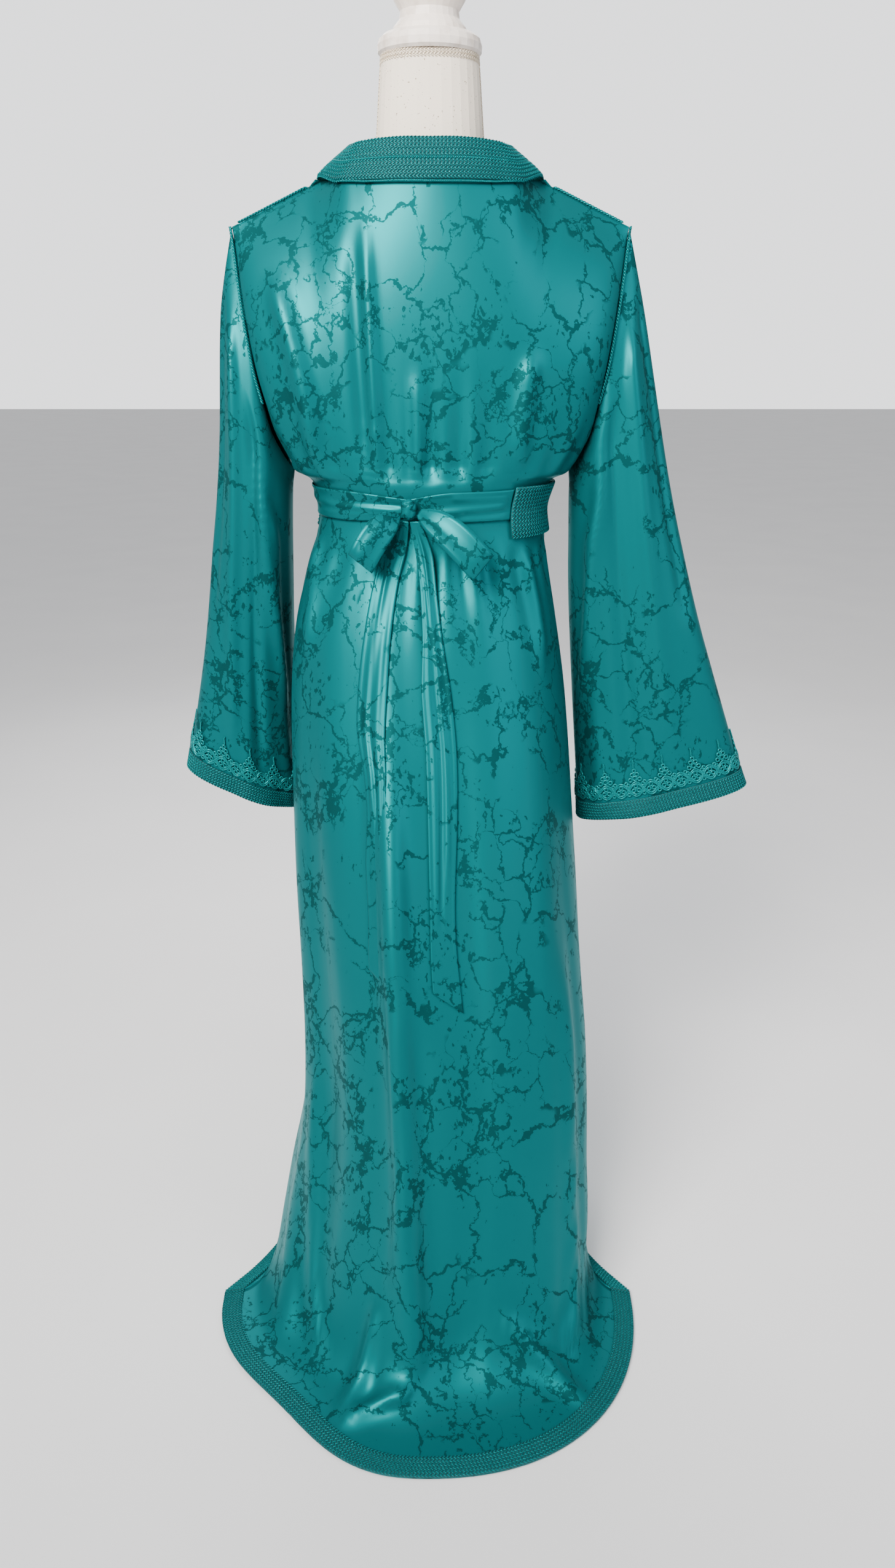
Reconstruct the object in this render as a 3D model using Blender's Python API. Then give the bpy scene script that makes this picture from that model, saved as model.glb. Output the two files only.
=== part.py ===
"""Moroccan kaftan on a limbless dress form, built as closed cloth walls in metres, +Z up, front facing -Y."""

import math
from collections import namedtuple

import bmesh
import bpy
import numpy as np

# Cloth walls and clearances, in metres.
PANEL_WALL = 0.0018
SLEEVE_WALL = 0.0016
BRAID_WALL = 0.0014
RIBBON_WALL = 0.0015
SEAM_GAP = 0.0005
ARMHOLE_GAP = 0.0009
LAY_GAP = 0.0004

# Body of the kaftan.
SQUARENESS = 2.3
BACK_COLUMNS = 33
FRONT_COLUMNS = 13
SHOULDER_HALF = 0.234
SHOULDER_TIP_Z = 1.320
NECK_HALF = 0.127
NECK_SIDE_Z = 1.369
NECK_BACK_Y = 0.080
NECK_BACK_Z = 1.362
NECK_FRONT_Y = -0.104
NECK_FRONT_Z = 1.262
UNDERARM_Z = 1.042
BACK_DEPTH_TOP = 0.102
FRONT_DEPTH_TOP = -0.112
ARMHOLE_BACK_Y = 0.046
ARMHOLE_FRONT_Y = -0.052
FRONT_BRAID_WIDTH = 0.024
# The side seam's angle, kept just off zero so that it counts as the front.
SIDE_ANGLE = 1e-6
# How much the fronts' columns crowd towards the side seam.
SIDE_CROWD = 1.25
# Share of the front's depth over which the hem draws in from the train to the feet.
PINCH_REACH = 0.35
# Least depth of a section, so that a fold's direction is never divided by nothing.
LEAST_DEPTH = 0.05
# Rows over which a skirt fold rises below the waist and dies out above the hem.
FOLD_RISE_ROWS = 4.0
FOLD_FADE_ROWS = 1.5
# Powers that shape the front neck's curve, the armhole's bow and the shoulder's easing.
NECK_FRONT_POWER = 1.4
ARMHOLE_BOW_POWER = 0.7
SHOULDER_EASE_POWER = 4

# How near a column must be to the neck's corner to move onto it, and how far down that reaches.
NECK_SNAP = 0.045
NECK_SNAP_SHARE = 0.35

# Trims.
BRAID_LIFT = 0.0007
HEM_LIFT = 0.0008
BRAID_TRIM = 0.0010
HEM_TOP_TRIM = 0.0050
CORD_RADIUS = 0.0015
COLLAR_CLEAR = 0.0008
COLLAR_LAP = 0.30
COLLAR_CORNER_LAP = 0.10
COLLAR_TAPER = 0.07
COLLAR_RISE = 0.042
COLLAR_SIDE_RISE = 0.024
COLLAR_LEAN = 0.016
COLLAR_SIDE_LEAN = 0.034
COLLAR_STEPS = (0.3, 0.65, 1.0)
COLLAR_LEAN_POWER = 1.15
COLLAR_LEAN_X = 1.10
COLLAR_LEAN_Y = 0.85
CORD_CLEAR = 0.0016
CORD_SIDES = 6
CORD_STEEPEST = 0.9
# Any direction that no cord runs along, used to start its round section.
CORD_START = (0.13, 0.31, 0.94)
# Points left out on the two sides of the underarm, and the stretch of the shoulder that the cord covers.
CORD_SKIP_FRONT = 4
CORD_SKIP_BACK = 3
SHOULDER_CORD_FROM = 0.14
SHOULDER_CORD_TO = 0.93
SHOULDER_CORD_CLEAR = 0.0002
CUFF_TRIM = 0.0005

# Belt and its ties.
BELT_LIFT = 0.0026
BELT_START_DEG = 138.0
BELT_END_DEG = 352.0
BELT_TILT = 0.3
TIE_WIDTH = 0.036
TIE_STEPS = 15
TIE_CENTRE_Z = 1.010
TIE_DROP = 0.002
TIE_NARROW_FROM = 0.55
TIE_NARROW_BY = 0.42
TIE_NARROW_POWER = 1.5
TIE_LIFT = 0.0007
TIE_GAP_RIGHT_DEG = 0.45
TIE_GAP_LEFT_DEG = 0.15
TIE_RIGHT_END_DEG = 76.15
TIE_LEFT_END_DEG = 75.80
KNOT_X = 0.026
KNOT_Y = 0.1152
KNOT_Z = 1.008
KNOT_SIZE = (0.021, 0.017, 0.026)
KNOT_RINGS = 7
KNOT_SIDES = 12
KNOT_END_POWER = 0.7
KNOT_CORNER_POWER = 0.8
# Places of a ribbon's points across its width.
TAIL_ACROSS = (0.5, 0.17, -0.17, -0.5)
LOOP_ACROSS = (-0.5, -0.2, 0.2, 0.5)

# Dress form and stand.
POLE_RADIUS = 0.015
POLE_LOW_Z = 0.022
POLE_TOP_Z = 0.770
POLE_GAP = 0.0005
TORSO_SQUARENESS = 2.25
CAP_SIDES = 32
KNOB_SIDES = 28
POLE_SIDES = 24
BASE_SIDES = 48

# Heights down the bodice as shares of the way from the shoulder to the underarm.
BODICE_SHARES = (0.0, 0.05, 0.12, 0.21, 0.32, 0.44, 0.57, 0.70, 0.82, 0.91, 0.965, 1.0)

ArmholeRow = namedtuple("ArmholeRow", "share half_width")
ARMHOLE = (
    ArmholeRow(0.00, 0.234),
    ArmholeRow(0.30, 0.221),
    ArmholeRow(0.60, 0.207),
    ArmholeRow(0.82, 0.195),
    ArmholeRow(0.94, 0.182),
    ArmholeRow(1.00, 0.172),
)

LoopRow = namedtuple(
    "LoopRow", "back_y back_z side_x side_y side_z front_y front_z shift_x front_pinch corner_cut"
)
LOOPS = (
    LoopRow(0.106, 1.042, 0.172, 0.000, 1.042, -0.108, 1.042, 0.000, 0.00, 0.00),
    LoopRow(0.107, 1.031, 0.150, 0.000, 1.031, -0.105, 1.031, 0.000, 0.00, 0.00),
    LoopRow(0.104, 1.000, 0.141, 0.000, 1.000, -0.101, 1.000, 0.000, 0.00, 0.00),
    LoopRow(0.107, 0.969, 0.145, 0.000, 0.969, -0.103, 0.969, 0.001, 0.00, 0.00),
    LoopRow(0.120, 0.925, 0.156, 0.004, 0.925, -0.110, 0.925, 0.006, 0.00, 0.00),
    LoopRow(0.142, 0.860, 0.169, 0.010, 0.860, -0.124, 0.860, 0.008, 0.00, 0.00),
    LoopRow(0.168, 0.780, 0.179, 0.018, 0.780, -0.136, 0.780, 0.006, 0.00, 0.00),
    LoopRow(0.197, 0.700, 0.184, 0.028, 0.700, -0.144, 0.700, 0.003, 0.00, 0.00),
    LoopRow(0.230, 0.610, 0.187, 0.040, 0.610, -0.150, 0.610, -0.001, 0.00, 0.00),
    LoopRow(0.263, 0.520, 0.189, 0.052, 0.520, -0.155, 0.520, -0.006, 0.00, 0.00),
    LoopRow(0.296, 0.430, 0.189, 0.066, 0.430, -0.160, 0.430, -0.012, 0.00, 0.00),
    LoopRow(0.328, 0.340, 0.190, 0.082, 0.340, -0.164, 0.340, -0.018, 0.01, 0.00),
    LoopRow(0.360, 0.250, 0.193, 0.102, 0.255, -0.168, 0.255, -0.019, 0.03, 0.01),
    LoopRow(0.390, 0.170, 0.199, 0.126, 0.180, -0.171, 0.185, -0.014, 0.07, 0.03),
    LoopRow(0.417, 0.104, 0.207, 0.154, 0.118, -0.174, 0.130, -0.008, 0.11, 0.05),
    LoopRow(0.444, 0.054, 0.210, 0.198, 0.064, -0.176, 0.088, -0.001, 0.11, 0.08),
    LoopRow(0.474, 0.022, 0.214, 0.241, 0.027, -0.178, 0.056, 0.002, 0.16, 0.10),
    LoopRow(0.508, 0.0085, 0.224, 0.274, 0.0085, -0.180, 0.040, 0.004, 0.22, 0.12),
    LoopRow(0.551, 0.0038, 0.242, 0.296, 0.0042, -0.182, 0.0285, 0.005, 0.26, 0.13),
    LoopRow(0.576, 0.0028, 0.271, 0.303, 0.0030, -0.184, 0.0035, 0.007, 0.27, 0.13),
)

# Large skirt folds. Angles run from the wearer's left side (0) over the back (90) to the right side (180).
Fold = namedtuple("Fold", "waist_deg hem_deg width_deg height first_row last_row")
FOLDS = (
    Fold(76.0, 84.0, 7.5, 0.015, 4.0, 17.5),
    Fold(100.0, 97.0, 9.0, -0.009, 5.0, 17.0),
    Fold(36.0, 42.0, 9.0, -0.008, 5.0, 17.0),
    Fold(20.0, 27.0, 8.0, 0.010, 7.0, 17.5),
    Fold(135.0, 128.0, 10.0, 0.009, 6.0, 17.5),
    Fold(156.0, 150.0, 8.0, 0.009, 7.0, 17.5),
    Fold(202.0, 205.0, 9.0, 0.009, 5.0, 17.5),
    Fold(231.0, 228.0, 9.0, -0.008, 5.0, 17.5),
    Fold(306.0, 312.0, 9.0, -0.008, 5.0, 17.5),
    Fold(336.0, 333.0, 9.0, 0.009, 5.0, 17.5),
)

SleeveRow = namedtuple("SleeveRow", "outer_x outer_y outer_z inner_x inner_y inner_z back_depth front_depth")
SLEEVE_LEFT = (
    SleeveRow(0.234, 0.000, 1.320, 0.172, 0.000, 1.042, 0.046, 0.052),
    SleeveRow(0.250, 0.000, 1.250, 0.175, -0.001, 1.030, 0.048, 0.054),
    SleeveRow(0.257, 0.000, 1.185, 0.178, -0.003, 1.003, 0.050, 0.056),
    SleeveRow(0.263, -0.003, 1.100, 0.181, -0.010, 0.960, 0.053, 0.056),
    SleeveRow(0.272, -0.006, 1.020, 0.184, -0.020, 0.905, 0.056, 0.056),
    SleeveRow(0.285, -0.010, 0.937, 0.188, -0.034, 0.835, 0.060, 0.055),
    SleeveRow(0.298, -0.014, 0.850, 0.190, -0.048, 0.760, 0.062, 0.054),
    SleeveRow(0.314, -0.018, 0.766, 0.189, -0.062, 0.680, 0.062, 0.053),
    SleeveRow(0.336, -0.022, 0.668, 0.187, -0.077, 0.586, 0.061, 0.052),
    SleeveRow(0.342, -0.023, 0.643, 0.187, -0.080, 0.561, 0.061, 0.052),
)
SLEEVE_RIGHT = (
    SleeveRow(0.234, 0.000, 1.320, 0.172, 0.000, 1.042, 0.046, 0.052),
    SleeveRow(0.252, 0.001, 1.250, 0.174, -0.001, 1.030, 0.047, 0.053),
    SleeveRow(0.265, 0.003, 1.190, 0.175, -0.004, 1.003, 0.048, 0.054),
    SleeveRow(0.285, 0.007, 1.092, 0.177, -0.010, 0.955, 0.049, 0.054),
    SleeveRow(0.303, 0.011, 1.012, 0.179, -0.014, 0.900, 0.050, 0.053),
    SleeveRow(0.323, 0.015, 0.937, 0.183, -0.014, 0.835, 0.050, 0.051),
    SleeveRow(0.346, 0.020, 0.858, 0.188, -0.010, 0.765, 0.049, 0.049),
    SleeveRow(0.374, 0.024, 0.775, 0.193, -0.002, 0.695, 0.047, 0.047),
    SleeveRow(0.416, 0.029, 0.655, 0.200, 0.012, 0.601, 0.045, 0.045),
    SleeveRow(0.425, 0.030, 0.632, 0.201, 0.015, 0.577, 0.045, 0.045),
)
SLEEVE_RINGS = 15
SLEEVE_CREASE_SHARE = 0.66
SLEEVE_CREASE_WIDTH = 0.16
SLEEVE_CREASE_HEIGHT = 0.16
SLEEVE_SWELL_POWER = 0.8
SLEEVE_BLEND_RINGS = 4.0
SLEEVE_SKEW_RINGS = 5.0

FormRow = namedtuple("FormRow", "z half_width back_y front_y")
TORSO = (
    FormRow(0.770, 0.148, 0.128, -0.116),
    FormRow(0.800, 0.153, 0.130, -0.118),
    FormRow(0.860, 0.150, 0.122, -0.110),
    FormRow(0.925, 0.138, 0.106, -0.098),
    FormRow(1.000, 0.122, 0.088, -0.086),
    FormRow(1.060, 0.134, 0.088, -0.091),
    FormRow(1.130, 0.150, 0.090, -0.098),
    FormRow(1.200, 0.166, 0.090, -0.098),
    FormRow(1.252, 0.178, 0.089, -0.095),
    FormRow(1.288, 0.182, 0.0785, -0.083),
    FormRow(1.310, 0.172, 0.063, -0.064),
    FormRow(1.327, 0.146, 0.053, -0.050),
    FormRow(1.338, 0.112, 0.050, -0.042),
    FormRow(1.350, 0.080, 0.052, -0.042),
    FormRow(1.370, 0.066, 0.056, -0.044),
    FormRow(1.400, 0.062, 0.055, -0.048),
    FormRow(1.4925, 0.055, 0.052, -0.052),
)
TORSO_SIDES = 32
TORSO_ROWS = 15
NECK_GAP = 0.0003

TurnedRow = namedtuple("TurnedRow", "radius z")
KNOB = (
    TurnedRow(0.043, 1.5134),
    TurnedRow(0.041, 1.520),
    TurnedRow(0.034, 1.528),
    TurnedRow(0.033, 1.536),
    TurnedRow(0.040, 1.547),
    TurnedRow(0.046, 1.562),
    TurnedRow(0.046, 1.578),
    TurnedRow(0.039, 1.594),
    TurnedRow(0.025, 1.605),
    TurnedRow(0.010, 1.610),
)
CAP_PROFILE = (
    TurnedRow(0.0555, 1.493),
    TurnedRow(0.0585, 1.496),
    TurnedRow(0.0590, 1.503),
    TurnedRow(0.0570, 1.509),
    TurnedRow(0.0520, 1.513),
)
BASE_PROFILE = (
    TurnedRow(0.140, 0.0),
    TurnedRow(0.140, 0.009),
    TurnedRow(0.136, 0.012),
    TurnedRow(0.035, 0.017),
    TurnedRow(0.026, 0.0215),
)

# Tails of the tied bow, hanging on the skirt. Positive x is the wearer's left.
TailRow = namedtuple("TailRow", "height centre_x width lift")
TAIL_LEFT = (
    TailRow(0.9944, 0.033, 0.014, 0.0085),
    TailRow(0.9610, 0.042, 0.026, 0.0045),
    TailRow(0.9230, 0.054, 0.030, 0.0026),
    TailRow(0.8660, 0.064, 0.033, 0.0018),
    TailRow(0.8090, 0.070, 0.036, 0.0018),
    TailRow(0.7520, 0.073, 0.035, 0.0018),
    TailRow(0.7040, 0.068, 0.028, 0.0018),
    TailRow(0.6570, 0.066, 0.024, 0.0018),
    TailRow(0.5990, 0.066, 0.028, 0.0018),
    TailRow(0.5420, 0.062, 0.030, 0.0018),
    TailRow(0.4950, 0.060, 0.034, 0.0018),
    TailRow(0.4510, 0.056, 0.036, 0.0018),
)
TAIL_RIGHT = (
    TailRow(0.9944, 0.019, 0.012, 0.0085),
    TailRow(0.9560, 0.008, 0.020, 0.0045),
    TailRow(0.9140, 0.003, 0.020, 0.0026),
    TailRow(0.8560, -0.002, 0.025, 0.0018),
    TailRow(0.7990, -0.006, 0.036, 0.0018),
    TailRow(0.7330, -0.012, 0.038, 0.0018),
    TailRow(0.6660, -0.014, 0.037, 0.0018),
    TailRow(0.6090, -0.014, 0.034, 0.0018),
    TailRow(0.5520, -0.014, 0.031, 0.0018),
    TailRow(0.4950, -0.016, 0.032, 0.0018),
    TailRow(0.4280, -0.022, 0.035, 0.0018),
)

# Colours are linear.
SATIN = (0.022, 0.275, 0.280, 1.0)
BRAID = (0.004, 0.230, 0.215, 1.0)
LINEN = (0.790, 0.735, 0.660, 1.0)
PAINTED_WOOD = (0.850, 0.780, 0.720, 1.0)
STEEL = (0.300, 0.300, 0.310, 1.0)


def clear_scene():
    """Remove everything that the file starts with."""
    for item in list(bpy.data.objects):
        bpy.data.objects.remove(item, do_unlink=True)


def make_material(name, colour, roughness, metallic):
    """Return a plain surface in one colour."""
    material = bpy.data.materials.new(name)
    material.use_nodes = True
    shader = material.node_tree.nodes["Principled BSDF"]
    shader.inputs["Base Color"].default_value = colour
    shader.inputs["Roughness"].default_value = roughness
    shader.inputs["Metallic"].default_value = metallic
    return material


def add_mesh(name, points, faces, material, collection):
    """Make one object with its faces turned outwards."""
    mesh = bpy.data.meshes.new(name)
    mesh.from_pydata([tuple(point) for point in points], [], faces)
    mesh.update()
    work = bmesh.new()
    work.from_mesh(mesh)
    bmesh.ops.recalc_face_normals(work, faces=work.faces)
    work.to_mesh(mesh)
    work.free()
    for polygon in mesh.polygons:
        polygon.use_smooth = True
    thing = bpy.data.objects.new(name, mesh)
    thing.data.materials.append(material)
    collection.objects.link(thing)
    return thing


def unit(vectors):
    """Scale vectors to length one."""
    lengths = np.linalg.norm(vectors, axis=-1, keepdims=True)
    return vectors / np.maximum(lengths, 1e-12)


def smooth_rows(values, places):
    """Read a table at fractional rows on a smooth curve through its rows."""
    values = np.asarray(values, dtype=float)
    last = len(values) - 1
    slopes = np.gradient(values, axis=0)
    result = []
    for place in np.atleast_1d(places):
        low = int(min(max(math.floor(place), 0), last - 1))
        part = place - low
        square = part * part
        cube = square * part
        near = 2 * cube - 3 * square + 1
        far = 3 * square - 2 * cube
        leave = cube - 2 * square + part
        arrive = cube - square
        value = near * values[low] + far * values[low + 1]
        result.append(value + leave * slopes[low] + arrive * slopes[low + 1])
    return np.array(result)


def section_shares(angles):
    """Return the across and depth shares of a squared oval at each angle."""
    power = 2.0 / SQUARENESS
    cosine = np.cos(angles)
    across = np.sign(cosine) * np.abs(cosine) ** power
    depth = np.abs(np.sin(angles)) ** power
    return across, depth


def front_angles(half_width):
    """Return angles of the wearer's left front, centre to side, keeping the braid one width all the way down."""
    share = min(FRONT_BRAID_WIDTH / half_width, 0.5) ** (SQUARENESS / 2.0)
    first = math.acos(share)
    rest = SIDE_ANGLE + (first - SIDE_ANGLE) * np.linspace(1.0, 0.0, FRONT_COLUMNS - 1) ** SIDE_CROWD
    return -np.concatenate([[math.pi / 2.0], rest])


def row_angles(half_width):
    """Return one row of angles for the back, left to right, and for each front, middle to side."""
    back = np.linspace(0.0, math.pi, BACK_COLUMNS)
    left = front_angles(half_width)
    right = -math.pi - left
    return back, left, right


def fold_height(place, angle_deg):
    """Return how far the skirt stands out at a row place and an angle."""
    total = 0.0
    last = len(LOOPS) - 1
    for fold in FOLDS:
        if place <= fold.first_row or place >= last:
            continue
        share = (place - fold.first_row) / (last - fold.first_row)
        centre = fold.waist_deg + (fold.hem_deg - fold.waist_deg) * share
        away = (angle_deg - centre + 180.0) % 360.0 - 180.0
        grow = min(1.0, (place - fold.first_row) / FOLD_RISE_ROWS)
        fade = min(1.0, max(0.0, (last - 1.0 - place) / (last - 1.0 - fold.last_row + FOLD_FADE_ROWS)))
        total += fold.height * grow * fade * math.exp(-((away / fold.width_deg) ** 2))
    return total


def loop_point(place, angle):
    """Return a point of the body at a loop row place and an angle, below the underarm."""
    row = LoopRow(*smooth_rows(LOOPS, place)[0])
    across, depth = section_shares(np.array([angle]))
    behind = math.sin(angle) >= 0.0
    far_y = row.back_y if behind else row.front_y
    far_z = row.back_z if behind else row.front_z
    wide = row.side_x * across[0]
    deep = (far_y - row.side_y) * depth[0]
    if behind and across[0] > 0.0:
        cut = 1.0 - row.corner_cut * math.sin(2.0 * angle) ** 2
        wide *= cut
        deep *= cut
    elif not behind:
        near = 1.0 - min(depth[0] / PINCH_REACH, 1.0)
        wide *= 1.0 - row.front_pinch * (1.0 - near * near)
    x = row.shift_x + wide
    y = row.side_y + deep
    z = row.side_z + (far_z - row.side_z) * depth[0]
    out = fold_height(place, math.degrees(angle) % 360.0)
    reach = max(abs(far_y - row.side_y), LEAST_DEPTH)
    flat = math.hypot(math.cos(angle) / row.side_x, math.sin(angle) / reach)
    x += out * math.cos(angle) / row.side_x / flat
    y += out * math.sin(angle) / reach / flat
    return np.array([x, y, z])


def armhole_half(share):
    """Return the half width of the body at a share of the armhole's height."""
    shares = [row.share for row in ARMHOLE]
    widths = [row.half_width for row in ARMHOLE]
    return float(np.interp(share, shares, widths))


def top_edge(across, behind):
    """Return the y and z of the shoulder and neck edge at a share across."""
    x = abs(across) * SHOULDER_HALF
    if x >= NECK_HALF:
        part = (x - NECK_HALF) / (SHOULDER_HALF - NECK_HALF)
        return 0.0, NECK_SIDE_Z + (SHOULDER_TIP_Z - NECK_SIDE_Z) * part
    part = x / NECK_HALF
    bend = math.sqrt(max(0.0, 1.0 - part * part))
    if behind:
        return NECK_BACK_Y * bend, NECK_SIDE_Z + (NECK_BACK_Z - NECK_SIDE_Z) * bend
    drop = bend**NECK_FRONT_POWER
    return NECK_FRONT_Y * bend, NECK_SIDE_Z + (NECK_FRONT_Z - NECK_SIDE_Z) * drop


def snap_to_neck(across, share):
    """Move the column nearest the neck's corner onto it, less and less down the bodice."""
    corner = NECK_HALF / SHOULDER_HALF
    if abs(abs(across) - corner) > NECK_SNAP:
        return across
    fade = max(0.0, 1.0 - share / NECK_SNAP_SHARE)
    return across + (math.copysign(corner, across) - across) * fade


def bodice_point(share, angle):
    """Return a point of the body between the shoulder and the underarm."""
    behind = math.sin(angle) >= 0.0
    across, depth = section_shares(np.array([angle]))
    across = snap_to_neck(across[0], share)
    depth = depth[0]
    top_y, top_z = top_edge(across, behind)
    low = LOOPS[0]
    sign = 1.0 if behind else -1.0
    bow = math.sin(math.pi * min(share, 1.0)) ** ARMHOLE_BOW_POWER
    edge_y = (ARMHOLE_BACK_Y if behind else ARMHOLE_FRONT_Y) * bow
    top_depth = BACK_DEPTH_TOP if behind else FRONT_DEPTH_TOP
    low_depth = low.back_y if behind else low.front_y
    far_y = top_depth + (low_depth - top_depth) * share
    body_y = edge_y + (far_y - edge_y) * depth
    over = 1.0 - (1.0 - share) ** SHOULDER_EASE_POWER
    y = top_y * (1.0 - over) + body_y * over
    if sign * y < sign * top_y:
        y = top_y
    z = top_z + (UNDERARM_Z - top_z) * share
    return np.array([across * armhole_half(share), y, z])


def body_grids():
    """Return the outer points of the back and the two fronts, row by row from the shoulder to the hem."""
    back = []
    left = []
    right = []
    for share in BODICE_SHARES:
        angles = row_angles(armhole_half(share))
        for store, row in zip((back, left, right), angles):
            store.append([bodice_point(share, angle) for angle in row])
    for place in range(1, len(LOOPS)):
        angles = row_angles(LOOPS[place].side_x)
        for store, row in zip((back, left, right), angles):
            store.append([loop_point(place, angle) for angle in row])
    return np.array(back), np.array(left), np.array(right)


def grid_normals(grid, flip):
    """Return unit normals of a grid of points."""
    down = np.gradient(grid, axis=0)
    along = np.gradient(grid, axis=1)
    normals = unit(np.cross(along, down))
    return -normals if flip else normals


def mean_normals(first, second):
    """Return the shared direction of two rows of normals."""
    return unit(first + second)


def apart(edge, normals, hint):
    """Return unit directions across a seam, in the wall's plane and on the hinted side."""
    along = np.gradient(edge, axis=0)
    across = unit(np.cross(along, normals))
    side = np.sign(np.sum(across * hint, axis=1, keepdims=True))
    side[side == 0.0] = 1.0
    return across * side


def shell(name, outer, normals, wall, material, collection, closed=False):
    """Make a closed cloth wall below a grid of outer points."""
    rows, columns = outer.shape[:2]
    inner = outer - normals * wall
    points = np.concatenate([outer.reshape(-1, 3), inner.reshape(-1, 3)])
    count = rows * columns
    faces = []
    last = columns if closed else columns - 1
    for row in range(rows - 1):
        for column in range(last):
            after = (column + 1) % columns
            a = row * columns + column
            b = row * columns + after
            c = (row + 1) * columns + after
            d = (row + 1) * columns + column
            faces.append((a, b, c))
            faces.append((a, c, d))
            faces.append((count + c, count + b, count + a))
            faces.append((count + d, count + c, count + a))
    for column in range(last):
        after = (column + 1) % columns
        faces.append((after, column, count + column, count + after))
        low = (rows - 1) * columns
        faces.append((low + column, low + after, count + low + after, count + low + column))
    if not closed:
        for row in range(rows - 1):
            near = row * columns
            below = near + columns
            faces.append((near, below, count + below))
            faces.append((near, count + below, count + near))
            near = row * columns + columns - 1
            below = near + columns
            faces.append((count + below, below, near))
            faces.append((count + near, count + below, near))
    return add_mesh(name, points, faces, material, collection)


def strip_on(name, grid, normals, rows, columns, top_trim, lift, material, collection):
    """Make a flat trim from a block of a panel's own points moved out, its ends trimmed back a little."""
    block = grid[rows[0] : rows[1] + 1, columns[0] : columns[1] + 1].copy()
    panel_out = normals[rows[0] : rows[1] + 1, columns[0] : columns[1] + 1]
    facing = grid_normals(block, False)
    if np.sum(facing * panel_out) < 0.0:
        facing = -facing
    block[0] += unit(block[1] - block[0]) * top_trim
    block[-1] += unit(block[-2] - block[-1]) * BRAID_TRIM
    block[:, 0] += unit(block[:, 1] - block[:, 0]) * BRAID_TRIM
    block[:, -1] += unit(block[:, -2] - block[:, -1]) * BRAID_TRIM
    return shell(name, block + facing * (lift + BRAID_WALL), facing, BRAID_WALL, material, collection)


def tube(name, path, radius, material, collection, sides=CORD_SIDES):
    """Make a cord with flat ends along a path."""
    ahead = unit(np.gradient(path, axis=0))
    across = unit(np.cross(ahead, np.array(CORD_START)))
    over = np.cross(across, ahead)
    points = []
    for centre, first, second in zip(path, across, over):
        for side in range(sides):
            turn = 2.0 * math.pi * side / sides
            points.append(centre + radius * (first * math.cos(turn) + second * math.sin(turn)))
    faces = []
    for row in range(len(path) - 1):
        for side in range(sides):
            after = (side + 1) % sides
            near = row * sides
            faces.append((near + side, near + after, near + sides + after, near + sides + side))
    faces.append(tuple(range(sides)))
    last = (len(path) - 1) * sides
    faces.append(tuple(last + side for side in range(sides)))
    return add_mesh(name, points, faces, material, collection)


def turned(name, rows, sides, material, collection):
    """Make a solid of revolution on the stand's axis from radius and height rows."""
    points = []
    for row in rows:
        for side in range(sides):
            turn = 2.0 * math.pi * side / sides
            points.append((row.radius * math.cos(turn), row.radius * math.sin(turn), row.z))
    faces = []
    for level in range(len(rows) - 1):
        for side in range(sides):
            after = (side + 1) % sides
            near = level * sides
            faces.append((near + side, near + after, near + sides + after, near + sides + side))
    faces.append(tuple(range(sides)))
    last = (len(rows) - 1) * sides
    faces.append(tuple(last + side for side in range(sides)))
    return add_mesh(name, points, faces, material, collection)


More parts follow.
